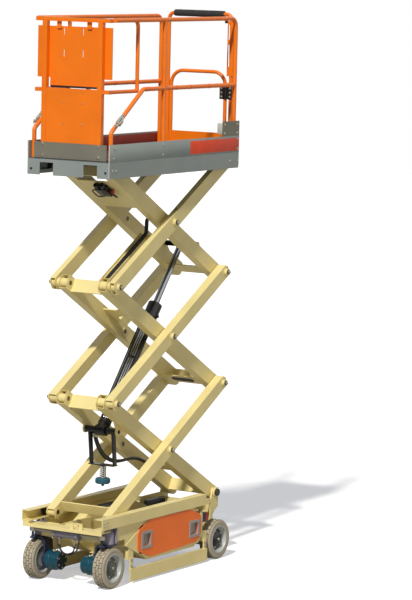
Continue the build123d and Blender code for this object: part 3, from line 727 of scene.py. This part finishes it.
for _, where, sign in WHEELS:
    low, high = (Vector(v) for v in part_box(f"tyre_{where}"))
    rim_low, rim_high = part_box(f"wheel_{where}")
    radius, width, centre = (high.z - low.z) / 2, high.y - low.y, (low + high) / 2
    tyre = treaded_tyre(f"treaded_tyre_{where}", radius, width, (rim_high[2] - rim_low[2]) / 2)
    put(tyre, facing(centre, (0, sign, 0)))
    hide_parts(f"tyre_{where}")
    settle(tyre, f"wheel_{where}", TYRE_RUBBER, 30)
    darken_grooves(tyre, centre, radius, width)

# %% [markdown]
# ## Hubs
# The hub sits deep in the dished rim. A stepped cover fills the dish, and five bolts hold the rim.

# %% Hubs and rim bolts
HUB_COVER = [
    (0.0835, 0.0145), (0.0835, 0.0175), (0.081, 0.0195), (0.064, 0.0205), (0.058, 0.0265), (0.040, 0.0330),
    (0.034, 0.0385), (0.012, 0.0395),
]
BOLT_CIRCLE = 0.070
BOLT_SEAT = 0.0202
AXLE_CAP = [(0.012, 0.039), (0.012, 0.045), (0.008, 0.048)]


def bolt(name, across, head, washer=True):
    """Hex bolt head with its washer, standing on Z = 0."""
    flat = across / 2
    top = turned(name, [(flat, 0), (flat, head * 0.75), (flat * 0.86, head), (flat * 0.3, head)], 6)
    if not washer:
        return top
    ring = turned(name, [(across * 0.78, 0), (across * 0.78, head * 0.2), (flat, head * 0.22)], 20)
    return join(name, [top, ring])


for end, where, sign in WHEELS:
    low, high = (Vector(v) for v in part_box(f"wheel_{where}"))
    place = facing((low + high) / 2, (0, sign, 0))
    cover = turned(f"hub_cover_{where}", HUB_COVER, 40)
    put(cover, place)
    settle(cover, f"wheel_{where}", HUB_GREY if end == "front" else GLOSS_BLACK)
    cap = turned(f"axle_cap_{where}", AXLE_CAP, 24)
    put(cap, place)
    plated(cap, f"wheel_{where}")
    around = [place @ Matrix.Rotation(math.radians(36 + 72 * i), 4, "Z")
              @ shift(BOLT_CIRCLE, 0, BOLT_SEAT) for i in range(5)]
    ring = copies(f"rim_bolts_{where}", bolt("bolt", 0.013, 0.008), around)
    plated(ring, f"wheel_{where}")

# %% [markdown]
# ## Bolts
# Bolt heads show where plates meet, and a large keeper bolt closes each arm pin. Each row of the
# table is one group on one body: the size across the flats, the way the heads face, and the places.
# The pins' places follow from the arms' length and slope.

# %% Pins of the outer arms
STACK_ANGLE = math.radians(30)
BASE_PIN = Vector((-0.905, 0, 0.521))
ARM = 1.820    # between an arm's end pins
STAGE_RISE = ARM * math.sin(STACK_ANGLE)
PIN_STATIONS = {1: (0, 0.5), 2: (0, 0.5, 1), 3: (0.5, 1)}    # parts of an arm's length from its rear end


def outer_pin(stage, part):
    """X and Z of a pin on an outer arm, which slopes down to the front."""
    return BASE_PIN.x + part * ARM * math.cos(STACK_ANGLE), BASE_PIN.z + (stage - part) * STAGE_RISE


PIN_ENDS = {stage: [outer_pin(stage, part) for part in parts] for stage, parts in PIN_STATIONS.items()}
print("each stage rises", round(STAGE_RISE, 3), "m")

# %% Bolts on the plates
toe_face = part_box("extension_panels")[1][0]
gate_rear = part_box("rear_gate")[0][0]
guard_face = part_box("pothole_guard_left")[1][1]
pin_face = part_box("scissor_pins_1")[1][1]
SKIN = 0.0012
GUARD_PLATE = 0.008    # the guard's brackets stand behind its plate
FRONT, BACK = (1, 0, 0), (-1, 0, 0)
BOLTS = [
    ("toe_plate_bolts", "extension", 0.015, FRONT,
     [(toe_face, y, DECK + z) for y in (-0.258, 0.258) for z in (0.153, 0.238)]),
    ("lower_panel_rivets", "extension", 0.008, FRONT,
     [(toe_face - 0.009, y, DECK + z) for y in (-0.07, 0.10) for z in (0.40, 0.56)]),
    ("gate_hinge_bolts", "gate", 0.011, BACK,
     [(gate_rear, y, DECK + z) for y in (0.229, 0.331) for z in (0.568, 0.603, 0.638)]),
    ("chassis_corner_bolts", "chassis", 0.010, (0, 1, 0),
     [(x, 0.380, z) for x in (0.915, 0.875) for z in (0.508, 0.534)]),
]
for side, sign in SIDES.items():
    outward = (0, sign, 0)
    BOLTS += [
        (f"deck_side_bolts_{side}", "platform", 0.012, outward,
         [(x, sign * (DECK_SIDE + SKIN), DECK + z) for x in (0.89, 0.20, -0.91) for z in (0.155, 0.235)]
         + [(x, sign * DECK_SIDE, DECK + 0.06) for x in (0.90, 0.86, -0.80, -0.91)]),
        (f"guard_bolts_{side}", f"guard_{side}", 0.018, outward,
         [(x, sign * (guard_face - GUARD_PLATE), z)
          for x, top in ((0.509, 0.188), (-0.569, 0.166)) for z in (0.14, top)]),
    ]
    BOLTS += [
        (f"pin_bolts_{stage}_{side}", f"outer_{stage}", 0.022, outward,
         [(x, sign * pin_face, z) for x, z in ends])
        for stage, ends in PIN_ENDS.items()
    ]
BOLTS.append(("corner_plate_bolts", "platform", 0.013, (0, 1, 0),
              [(x, DECK_SIDE, DECK + z) for x in (-0.71, -0.90) for z in (0.285, 0.355)]))
for name, body, across, direction, spots in BOLTS:
    group = copies(name, bolt("bolt", across, across * 0.5), [facing(spot, direction) for spot in spots])
    plated(group, body)

# %% [markdown]
# ## Platform trim
# A thin painted skin covers the outside of each side plate, and a red band of film is stuck along
# its rear part. The toe boards are lined inside with a dark red sheet. A pale strip along each
# front corner is a painted highlight.

# %% Skins, bands and liners
RED_FILM = moulded("matt_red_vinyl_film", "E0461E", 0.55, 6, 0.05)
LINER_RED = moulded("dark_red_liner_sheet", "8A2F26", 0.6, 8, 0.08)
FILM = 0.0006
skin_face = DECK_SIDE + SKIN
TRIM = [  # name, from and to in X, Y outwards from the middle and Z above the deck's edge, bevel, look, slot
    ("toe_board_skin", (-0.9345, 0.9435), (DECK_SIDE, skin_face), (0.128, 0.2598), 0.0005,
     DECK_GREY, "grey_steel"),
    ("red_band", (-0.93, -0.20), (skin_face, skin_face + FILM), (0.140, 0.243), 0.0002,
     RED_FILM, "orange_steel"),
    # Painted highlight: a pale strip along each front corner edge of the deck.
    ("corner_edge", (DECK_NOSE, DECK_NOSE + 0.002), (0.3745, skin_face), (0.002, 0.26), 0.0006,
     PALE_GREY, "grey_steel"),
    ("toe_liner", (-0.92, 0.90), (0.3725, 0.3738), (0.136, 0.247), 0.0004,
     LINER_RED, "orange_steel"),
]
for side, sign in SIDES.items():
    for name, along, out, up, bevel, material, slot in TRIM:
        ys = on_side(sign, *out)
        sheet = block(f"{name}_{side}", (along[0], ys[0], DECK + up[0]), (along[1], ys[1], DECK + up[1]),
                      bevel)
        settle(sheet, "platform", material)

# %% [markdown]
# ## Rail fittings
# The guard rails fold, so a sprung latch with a pull ring locks each side's front stay, and short
# red sleeves mark the joints along the mid rail.

# %% Rail latches
RAIL_Y = 0.356
LATCH_AT = Vector((0.787, RAIL_Y, DECK + 0.432))
LATCH_SLOPE = math.radians(36.3)    # of the front stay
PULL = [(0.008, 0.028), (0.008, 0.040), (0.014, 0.042), (0.014, 0.050), (0.006, 0.052)]
for side, sign in SIDES.items():
    plate = block("latch", (-0.055, 0.010, 0.004), (0.050, 0.026, 0.034), bevel=0.004)
    press(plate, (0, 1, 0), 0.005, 0.006)
    saddle = block("saddle", (-0.030, -0.006, -0.024), (0.030, 0.020, 0.024), bevel=0.005)
    pull = turned("pull", PULL, 20)
    put(pull, shift(0.070, -0.020, 0.018) @ facing((0, 0, 0), (0, 1, 0)))
    bpy.ops.mesh.primitive_torus_add(
        major_radius=0.015, minor_radius=0.0022, major_segments=28, minor_segments=8,
        location=(0.085, 0.018, 0.016), rotation=(math.radians(70), 0, 0))
    ring = bpy.context.object
    bpy.ops.object.transform_apply()
    latch = join(f"rail_latch_{side}", [plate, saddle, pull, ring])
    put(latch, Matrix.Translation(LATCH_AT) @ Matrix.Rotation(LATCH_SLOPE, 4, "Y"))
    if sign < 0:
        put(latch, Matrix.Scale(-1, 4, (0, 1, 0)))
    plated(latch, "platform")

# %% Rail joints
JOINT_X = (0.43, 0.39, -0.01, -0.21, -0.49)
JOINT_SLEEVE = [(0.0174, -0.004), (0.0184, -0.003), (0.0184, 0.003), (0.0174, 0.004)]
mid_rail = DECK + 0.671
for side, sign in SIDES.items():
    sleeve = turned("joint", JOINT_SLEEVE, 24, hollow=True)
    spots = [facing((x, sign * RAIL_Y, mid_rail), (1, 0, 0)) for x in JOINT_X]
    joints = copies(f"rail_joints_{side}", sleeve, spots)
    settle(joints, "platform", RED_FILM)

# %% [markdown]
# ## Gate grip
# The top bar of the gate is wrapped in a closed-cell foam sleeve. It is soft: a little thicker in
# the middle, pinched in at both ends, with shallow ripples between.

# %% Foam sleeve
FOAM = moulded("closed_cell_foam", "2B2C2C", 0.9, 2.5, 0.5, drift=0.15)
low, high = (Vector(v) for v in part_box("gate_grip_sleeve"))
half = (high.y - low.y) / 2
thick = (high.z - low.z) / 2
SLEEVE_STEPS = 12
SLEEVE_BORE = 0.0155
profile = [(SLEEVE_BORE, -half), (thick * 0.86, -half), (thick * 0.95, 0.004 - half)]
for i in range(1, SLEEVE_STEPS):
    along = -half + 2 * half * i / SLEEVE_STEPS
    ripple = 0.985 + 0.012 * math.sin(i * 2.1)
    profile.append((thick * ripple, along))
profile += [(thick * 0.95, half - 0.004), (thick * 0.86, half), (SLEEVE_BORE, half)]
sleeve = turned("foam_grip_sleeve", profile, 36, hollow=True)
put(sleeve, facing((low + high) / 2, (0, 1, 0)))
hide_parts("gate_grip_sleeve")
settle(sleeve, "gate", FOAM, 50)

# %% [markdown]
# ## Lift hoses
# Two hydraulic hoses leave the bar under the cylinder, hang in a loose bow and end at the first
# cross plate. Their points are listed, the same as in the frame.

# %% Lift hoses
HOSE_RUBBER = moulded("black_hydraulic_hose", "1E1F20", 0.45, 3, 0.2)
HOSE_ROUTE = [
    (0.402, 1.136), (0.372, 1.066), (0.318, 0.990), (0.234, 0.922), (0.118, 0.878), (-0.016, 0.868),
    (-0.135, 0.874), (-0.262, 0.850), (-0.3768, 0.7945),
]
HOSE_SAG = (0, 0.004, 0.008, 0.012, 0.014, 0.014, 0.012, 0.008, 0)
HOSE_DIAMETER = 0.018
HOSE_Y = {"inner": -0.066, "outer": -0.087}
for where, sag, length in (("inner", 0, 0.908), ("outer", 1, 0.915)):
    y = HOSE_Y[where]
    points = [(x, y, z - sag * drop) for (x, z), drop in zip(HOSE_ROUTE, HOSE_SAG)]
    hose = wire(f"hydraulic_hose_{where}", points, HOSE_DIAMETER / 2, "inner_1", HOSE_RUBBER)
    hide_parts(f"lift_hose_{where}")
    print(f"{where} lift hose: {length * 1000:.0f} mm")

# %% [markdown]
# ## Steering hoses
# Two thinner hoses feed the steering cylinder. They hang in crossing loops between the front
# wheels, where they have slack for the axle to be taken out. Like the lift hoses, they follow
# the frame's points.

# %% Steering hoses
STEERING_ROUTES = {
    "left_port": [
        (0.870, 0.070, 0.351), (0.868, 0.072, 0.300), (0.862, 0.050, 0.258), (0.856, -0.004, 0.238),
        (0.852, -0.058, 0.250), (0.848, -0.096, 0.288), (0.842, -0.098, 0.336), (0.8196, -0.084, 0.361)],
    "right_port": [
        (0.870, -0.070, 0.351), (0.870, -0.070, 0.302), (0.873, -0.048, 0.262), (0.876, 0.006, 0.236),
        (0.872, 0.060, 0.250), (0.862, 0.094, 0.286), (0.850, 0.096, 0.332), (0.8196, 0.084, 0.361)],
}
STEERING_DIAMETER = 0.012
for port, points in STEERING_ROUTES.items():
    hose = wire(f"steering_hose_{port}", points, STEERING_DIAMETER / 2, "chassis", HOSE_RUBBER)
    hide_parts("steering_hoses")

# %% [markdown]
# ## Hose ends
# Each hose is crimped into a steel ferrule with a hexagon nut behind it.

# %% Ferrules and nuts


def hose_end(place, toward, radius):
    """A ferrule and nut on the first stretch of a hose that starts at place, toward a point."""
    bore, grip, flats = radius * 0.9, radius * 1.28, radius * 1.5
    ferrule = turned("ferrule", [
        (bore, 0.012), (grip, 0.013), (grip, 0.034), (radius * 1.12, 0.036), (bore, 0.036)], 24)
    nut = turned("nut", [(bore, 0.0), (flats, 0.001), (flats, 0.012), (bore, 0.013)], 6)
    end = join("hose_end", [ferrule, nut])
    put(end, facing(place, Vector(toward) - Vector(place)))
    return end


ends = []
for y in HOSE_Y.values():
    run = [Vector((x, y, z)) for x, z in HOSE_ROUTE]
    ends += [hose_end(*pair, HOSE_DIAMETER / 2) for pair in ((run[0], run[1]), (run[-1], run[-2]))]
plated(join("lift_hose_ends", ends), "inner_1")
ends = []
for run in STEERING_ROUTES.values():
    ends += [hose_end(*pair, STEERING_DIAMETER / 2) for pair in ((run[0], run[1]), (run[-1], run[-2]))]
plated(join("steering_hose_ends", ends), "chassis")

# %% [markdown]
# ## Lift cylinder fittings
# Three steel lines run up the front of the barrel from its foot to the gland, held by strapped
# clamp blocks. They are laid out along the cylinder's own axis and then stood at its angle.

# %% Lines along the barrel
CYLINDER_FOOT = (0.4134, 0, 1.1667)
CYLINDER_TURN = math.radians(-128.303)    # from the X axis to the way the rod comes out
CYLINDER = Matrix.Translation(CYLINDER_FOOT) @ Matrix.Rotation(CYLINDER_TURN, 4, "Y")
LINE_ANGLES = (10, 26, 42)
LINE_AXIS = 0.0562    # from the cylinder's axis
LINE = [(0.0048, 0.085), (0.0055, 0.087), (0.0055, 1.008), (0.0048, 1.010)]
along_x = facing((0, 0, 0), (1, 0, 0))


def beside_barrel(angle, radius):
    """A point beside the barrel's foot: angle from its front side towards the left."""
    a = math.radians(angle)
    return Vector((0, radius * math.sin(a), -radius * math.cos(a)))


lines = []
for angle in LINE_ANGLES:
    tube = turned("line", LINE, 16)
    put(tube, Matrix.Translation(beside_barrel(angle, LINE_AXIS)) @ along_x)
    lines.append(tube)
barrel_lines = join("barrel_lines", lines)
put(barrel_lines, CYLINDER)
settle(barrel_lines, "barrel", LINE_STEEL)

# %% Clamps and straps
CLAMPS_AT = (0.11, 0.36, 0.66, 0.97)
STRAPS = ((0.995, 0.0555), (0.055, 0.0525))    # place along the barrel, outer radius
turn = Matrix.Rotation(math.radians(180 + LINE_ANGLES[1]), 4, "X")
clamps = []
for along in CLAMPS_AT:
    pad = block("clamp", (-0.010, -0.025, 0.0495), (0.010, 0.025, 0.0645), 0.002)
    press(pad, (0, 0, 1), 0.003, 0.001)
    put(pad, shift(along) @ turn)
    screw = bolt("screw", 0.007, 0.004, washer=False)
    put(screw, shift(along) @ turn @ shift(0, 0, 0.0635))
    clamps += [pad, screw]
for along, outer in STRAPS:
    band = turned("band", [(0.050, 0), (outer, 0.001), (outer, 0.011), (0.050, 0.012)], 40, hollow=True)
    put(band, shift(along) @ along_x)
    clamps.append(band)
barrel_clamps = join("barrel_clamps", clamps)
put(barrel_clamps, CYLINDER)
settle(barrel_clamps, "barrel", BLACK_PLASTIC)

# %% [markdown]
# ## Valve block
# The platform valve hangs under the plate between the top inner arms: a ported block, two
# solenoids and a red release knob, with short black pipes bent back into it. It is built flat and
# then laid on the arm's slope.

# %% Valve block under the top arms
COIL = [(0.013, 0), (0.017, 0.002), (0.017, 0.030), (0.012, 0.033), (0.005, 0.034)]
KNOB = [(0.006, 0), (0.006, 0.010), (0.013, 0.012), (0.014, 0.020), (0.010, 0.023)]


def on_inner(stage):
    """Frame of an inner arm: X from its rear pin forwards along the arm, Z square to it."""
    pin = BASE_PIN + Vector((0, 0, stage * STAGE_RISE))
    return Matrix.Translation(pin) @ Matrix.Rotation(-STACK_ANGLE, 4, "Y")


VALVE = on_inner(2) @ shift(1.593, 0.052, -0.0572) @ Matrix.Scale(1.25, 4)
core = block("core", (-0.045, -0.045, -0.040), (0.045, 0.040, 0), 0.003)
press(core, (1, 0, 0), 0.010, 0.003)
press(core, (0, 1, 0), 0.010, 0.003)
coils = []
for y in (-0.024, 0.018):
    coil = turned("coil", COIL, 28)
    put(coil, facing((0.045, y, -0.020), (1, 0, 0)))
    coils.append(coil)
valve = join("valve_block", [core] + coils)
put(valve, VALVE)
settle(valve, "inner_3", GLOSS_BLACK)
knob = turned("release_knob", KNOB, 24)
put(knob, VALVE @ facing((-0.010, 0.040, -0.020), (0, 1, 0)))
settle(knob, "inner_3", RED_PLASTIC)
PIPES = [
    [(-0.045, -0.030, -0.012), (-0.075, -0.030, -0.012), (-0.088, -0.040, -0.016), (-0.088, -0.075, -0.024),
     (-0.070, -0.088, -0.030), (0.000, -0.088, -0.030), (0.016, -0.076, -0.028), (0.016, -0.045, -0.026)],
    [(-0.045, 0.020, -0.014), (-0.070, 0.022, -0.014), (-0.085, 0.034, -0.018), (-0.080, 0.056, -0.026),
     (-0.058, 0.062, -0.030), (-0.032, 0.060, -0.030), (-0.030, 0.052, -0.028), (-0.030, 0.040, -0.028)],
]
for number, path in enumerate(PIPES, 1):
    bends = [VALVE @ Vector(p) for p in path]
    wire(f"valve_pipe_{number}", bends, 0.005, "inner_3", BLACK_PLASTIC)

# %% [markdown]
# ## Chassis fittings
# The charging plug sits in a socket behind the left battery box. The wheel motors carry their case
# bolts and two port plugs, and each kingpin is held by a nut.

# %% Charging plug
shell = block("charging_socket", (-0.585, 0.322, 0.334), (-0.5302, 0.364, 0.412), 0.004)
press(shell, (0, 1, 0), 0.006, 0.003)
plug = block("plug", (-0.630, 0.326, 0.340), (-0.5855, 0.360, 0.406), 0.003)
press(plug, (0, 1, 0), 0.005, 0.002)
grip = block("grip", (-0.640, 0.336, 0.350), (-0.629, 0.350, 0.396), 0.002)
settle(shell, "chassis", BLACK_PLASTIC)
settle(join("charging_plug", [plug, grip]), "chassis", RED_PLASTIC)

# %% Motor bolts and kingpin nuts
AXLE_X = 0.775
HUB_Z = 0.1615
KINGPIN_Y = 0.325
CAP_CIRCLE = 0.052
KINGPIN_NUT = [(0.0175, 0.462), (0.0175, 0.474), (0.014, 0.4765), (0.008, 0.4765)]
CAP_ANGLES = [math.radians(30 + 60 * i) for i in range(6)]
for side, sign in SIDES.items():
    around = [facing((AXLE_X + CAP_CIRCLE * math.cos(a), sign * 0.106, HUB_Z + CAP_CIRCLE * math.sin(a)),
                     (0, -sign, 0)) for a in CAP_ANGLES]
    caps = copies(f"motor_cap_bolts_{side}", bolt("bolt", 0.010, 0.005), around)
    plated(caps, f"knuckle_{side}")
    ports = copies(f"motor_ports_{side}", bolt("port", 0.020, 0.010), [
        facing((AXLE_X + x, sign * 0.170, HUB_Z + 0.0765), (x * 2, 0, 1)) for x in (-0.010, 0.024)])
    plated(ports, f"knuckle_{side}")
    nut = turned(f"kingpin_nut_{side}", KINGPIN_NUT, 6)
    put(nut, shift(AXLE_X, sign * KINGPIN_Y, 0))
    plated(nut, f"knuckle_{side}")

# %% [markdown]
# ## Closing plates and electrics
# Thin plates close the corners between the battery boxes and the rails, ribbed rubber mats lie on
# the boxes, and the drive's finned controller hangs behind the right one.

# %% Closing plates and box mats


def cut_off(piece, point, normal):
    """Cut a piece by a plane and throw away the part that the normal points to."""
    alone(piece)
    edit("FACE", "SELECT")
    bpy.ops.mesh.bisect(plane_co=point, plane_no=normal, use_fill=True, clear_outer=True)
    leave()


CLOSE_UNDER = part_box("chassis_rails")[0][2] - 0.001
CLOSE_FROM, CLOSE_TO = 0.289, 0.7215
RIBS = 15
RIB_PITCH = 0.026
for side, sign in SIDES.items():
    ys = on_side(sign, 0.358, 0.360)
    corner = block("corner", (CLOSE_FROM, ys[0], 0.3165), (0.598, ys[1], CLOSE_UNDER), bevel=0)
    cut_off(corner, (CLOSE_FROM, 0, 0.4775), (-0.475, 0, -0.880))
    front = block("front", (0.598, ys[0], 0.362), (CLOSE_TO, ys[1], CLOSE_UNDER), bevel=0)
    ys = on_side(sign, 0.177, 0.357)
    cap = block("cap", (-0.085, ys[0], 0.0004), (0.085, ys[1], 0.0024), 0.0006)
    put(cap, shift(0.380, 0, 0.4268) @ Matrix.Rotation(math.radians(28.3), 4, "Y"))
    plates = join(f"corner_plate_{side}", [corner, front, cap])
    settle(plates, "chassis", SAND)
    ys = on_side(sign, 0.182, 0.300)
    mat = [block("base", (-0.350, ys[0], 0.4782), (0.040, ys[1], 0.4797), 0.0004)]
    for rib in range(RIBS):
        at = -0.345 + RIB_PITCH * rib
        mat.append(block("rib", (at, ys[0] + 0.004, 0.4795), (at + 0.010, ys[1] - 0.004, 0.4815), 0.0006))
    settle(join(f"box_mat_{side}", mat), "chassis", BLACK_PLASTIC)

# %% Drive controller
FINS = 11
FIN_PITCH = 0.022
GLAND = [(0.012, 0), (0.012, 0.008), (0.008, 0.010), (0.008, 0.020)]
controller = [block("case", (-0.770, -0.200, 0.275), (-0.5305, -0.158, 0.456), 0.004)]
for fin in range(FINS):
    at = -0.765 + FIN_PITCH * fin
    controller.append(block("fin", (at, -0.159, 0.285), (at + 0.004, -0.146, 0.446), 0.0006))
for number in range(3):
    gland = turned("gland", GLAND, 6)
    put(gland, facing((-0.72 + 0.05 * number, -0.179, 0.276), (0, 0, -1)))
    controller.append(gland)
settle(join("drive_controller", controller), "chassis", BATTERY_CASE)
lid = block("contactor_lid", (-0.640, 0.150, 0.300), (-0.5305, 0.205, 0.400), 0.006)
press(lid, (0, -1, 0), 0.012, 0.004)
settle(lid, "chassis", BATTERY_CASE)

# %% [markdown]
# ## Hose window
# The hoses pass through a long window in a cross plate. A rubber grommet with a thin skin closes
# it on each face. An oval is made from a circle whose halves are pulled apart.

# %% Grommet in the hose window


def oval(name, radius, half_gap, rings):
    """An oval piece along Y, raised from Z = 0 by (inset, lift) steps."""
    bpy.ops.mesh.primitive_circle_add(vertices=32, radius=radius, fill_type="NGON")
    piece = begin(name)
    leave()
    for point in piece.data.vertices:
        point.co.y += math.copysign(half_gap, point.co.y)
    edit("FACE", "SELECT")
    for inset, lift in rings:
        bpy.ops.mesh.extrude_region_move(TRANSFORM_OT_translate={"value": (0, 0, lift)})
        if inset:
            bpy.ops.mesh.inset(thickness=inset, depth=0)
    close_up()
    return piece


WINDOW_X = 0.128    # along the inner arm from its rear pin
GROMMET = [(0.001, 0.003), (0.006, 0), (0, -0.0015)]
GROMMETS = {"hose_window_grommet": (-0.0500, 0), "hose_window_grommet_under": (-0.0570, math.pi)}
for name, (height, turn) in GROMMETS.items():
    grommet = oval(name, 0.030, 0.075, GROMMET)
    put(grommet, on_inner(1) @ shift(WINDOW_X, 0, height) @ Matrix.Rotation(turn, 4, "Y"))
    settle(grommet, "inner_2", BLACK_PLASTIC)

# %% [markdown]
# ## Gate and deck details
# Dark bolted plates hinge the gate, a rubber stop and a latch plate meet the folding rails, and
# plugs close the drain holes in the front beam and the top arms.

# %% Gate hinge
GATE_X = -0.915
LEAF = 0.003
LEAF_BOLT = 0.014
hinge_x = GATE_X + 0.0155
leaf_face = hinge_x + LEAF
wings, heads = [], []
for low_y, high_y, aside_y in ((0.207, 0.259, -0.009), (0.270, 0.322, 0.009)):
    wings.append(block("wing", (hinge_x, low_y, DECK + 0.548), (leaf_face, high_y, DECK + 0.656), 0.0008))
    y = (low_y + high_y) / 2 + aside_y
    for z in (0.568, 0.602, 0.636):
        head = bolt("head", LEAF_BOLT, 0.005)
        put(head, facing((leaf_face, y, DECK + z), (1, 0, 0)))
        heads.append(head)
knuckle_pin = turned("knuckle_pin", [(0.006, 0), (0.007, 0.001), (0.007, 0.105), (0.006, 0.106)], 20)
put(knuckle_pin, shift(hinge_x + 0.004, 0.2645, DECK + 0.549))
settle(join("gate_hinge_plates", wings + [knuckle_pin]), "gate", GLOSS_BLACK)
plated(join("hinge_plate_bolts", heads), "gate")

# %% Stop, latch plate and painted shadow strip
stop = block("gate_stop", (GATE_X + 0.008, 0.244, DECK + 1.160), (GATE_X + 0.022, 0.272, DECK + 1.182),
             0.004)
settle(stop, "gate", BLACK_PLASTIC)
tongue = block("gate_latch_plate", (GATE_X - 0.002, 0.186, DECK + 0.262),
               (GATE_X + 0.004, 0.2365, DECK + 0.352), 0.001)
settle(tongue, "gate", PALE_GREY)
# Painted shadow: a black strip along the bottom of the upper extension panel darkens the gap there, where
# there is only shade.
gap_shadow_strip = block("painted_shadow_strip", (0.871, -0.222, DECK + 0.676), (0.883, 0.232, DECK + 0.691), 0.002)
settle(gap_shadow_strip, "extension", BLACK_PLASTIC)

# %% Plugs
BEAM_PLUG = [(0.010, 0), (0.010, 0.002), (0.007, 0.003)]
ARM_PLUG = [(0.008, 0), (0.008, 0.0015), (0.005, 0.002)]
plugs = copies("beam_plugs", turned("plug", BEAM_PLUG, 20),
               [facing((DECK_NOSE, y, DECK + 0.045), (1, 0, 0)) for y in (-0.345, 0.345)])
settle(plugs, "platform", BLACK_PLASTIC)
top_pin = BASE_PIN + Vector((0, 0, 3 * STAGE_RISE))
OUTER_TOP = Matrix.Translation(top_pin) @ Matrix.Rotation(STACK_ANGLE, 4, "Y")
plugs = copies("arm_plugs", turned("plug", ARM_PLUG, 16),
               [OUTER_TOP @ shift(0.815, y, 0.0575) for y in (0.278, -0.278)])
settle(plugs, "outer_3", BLACK_PLASTIC)
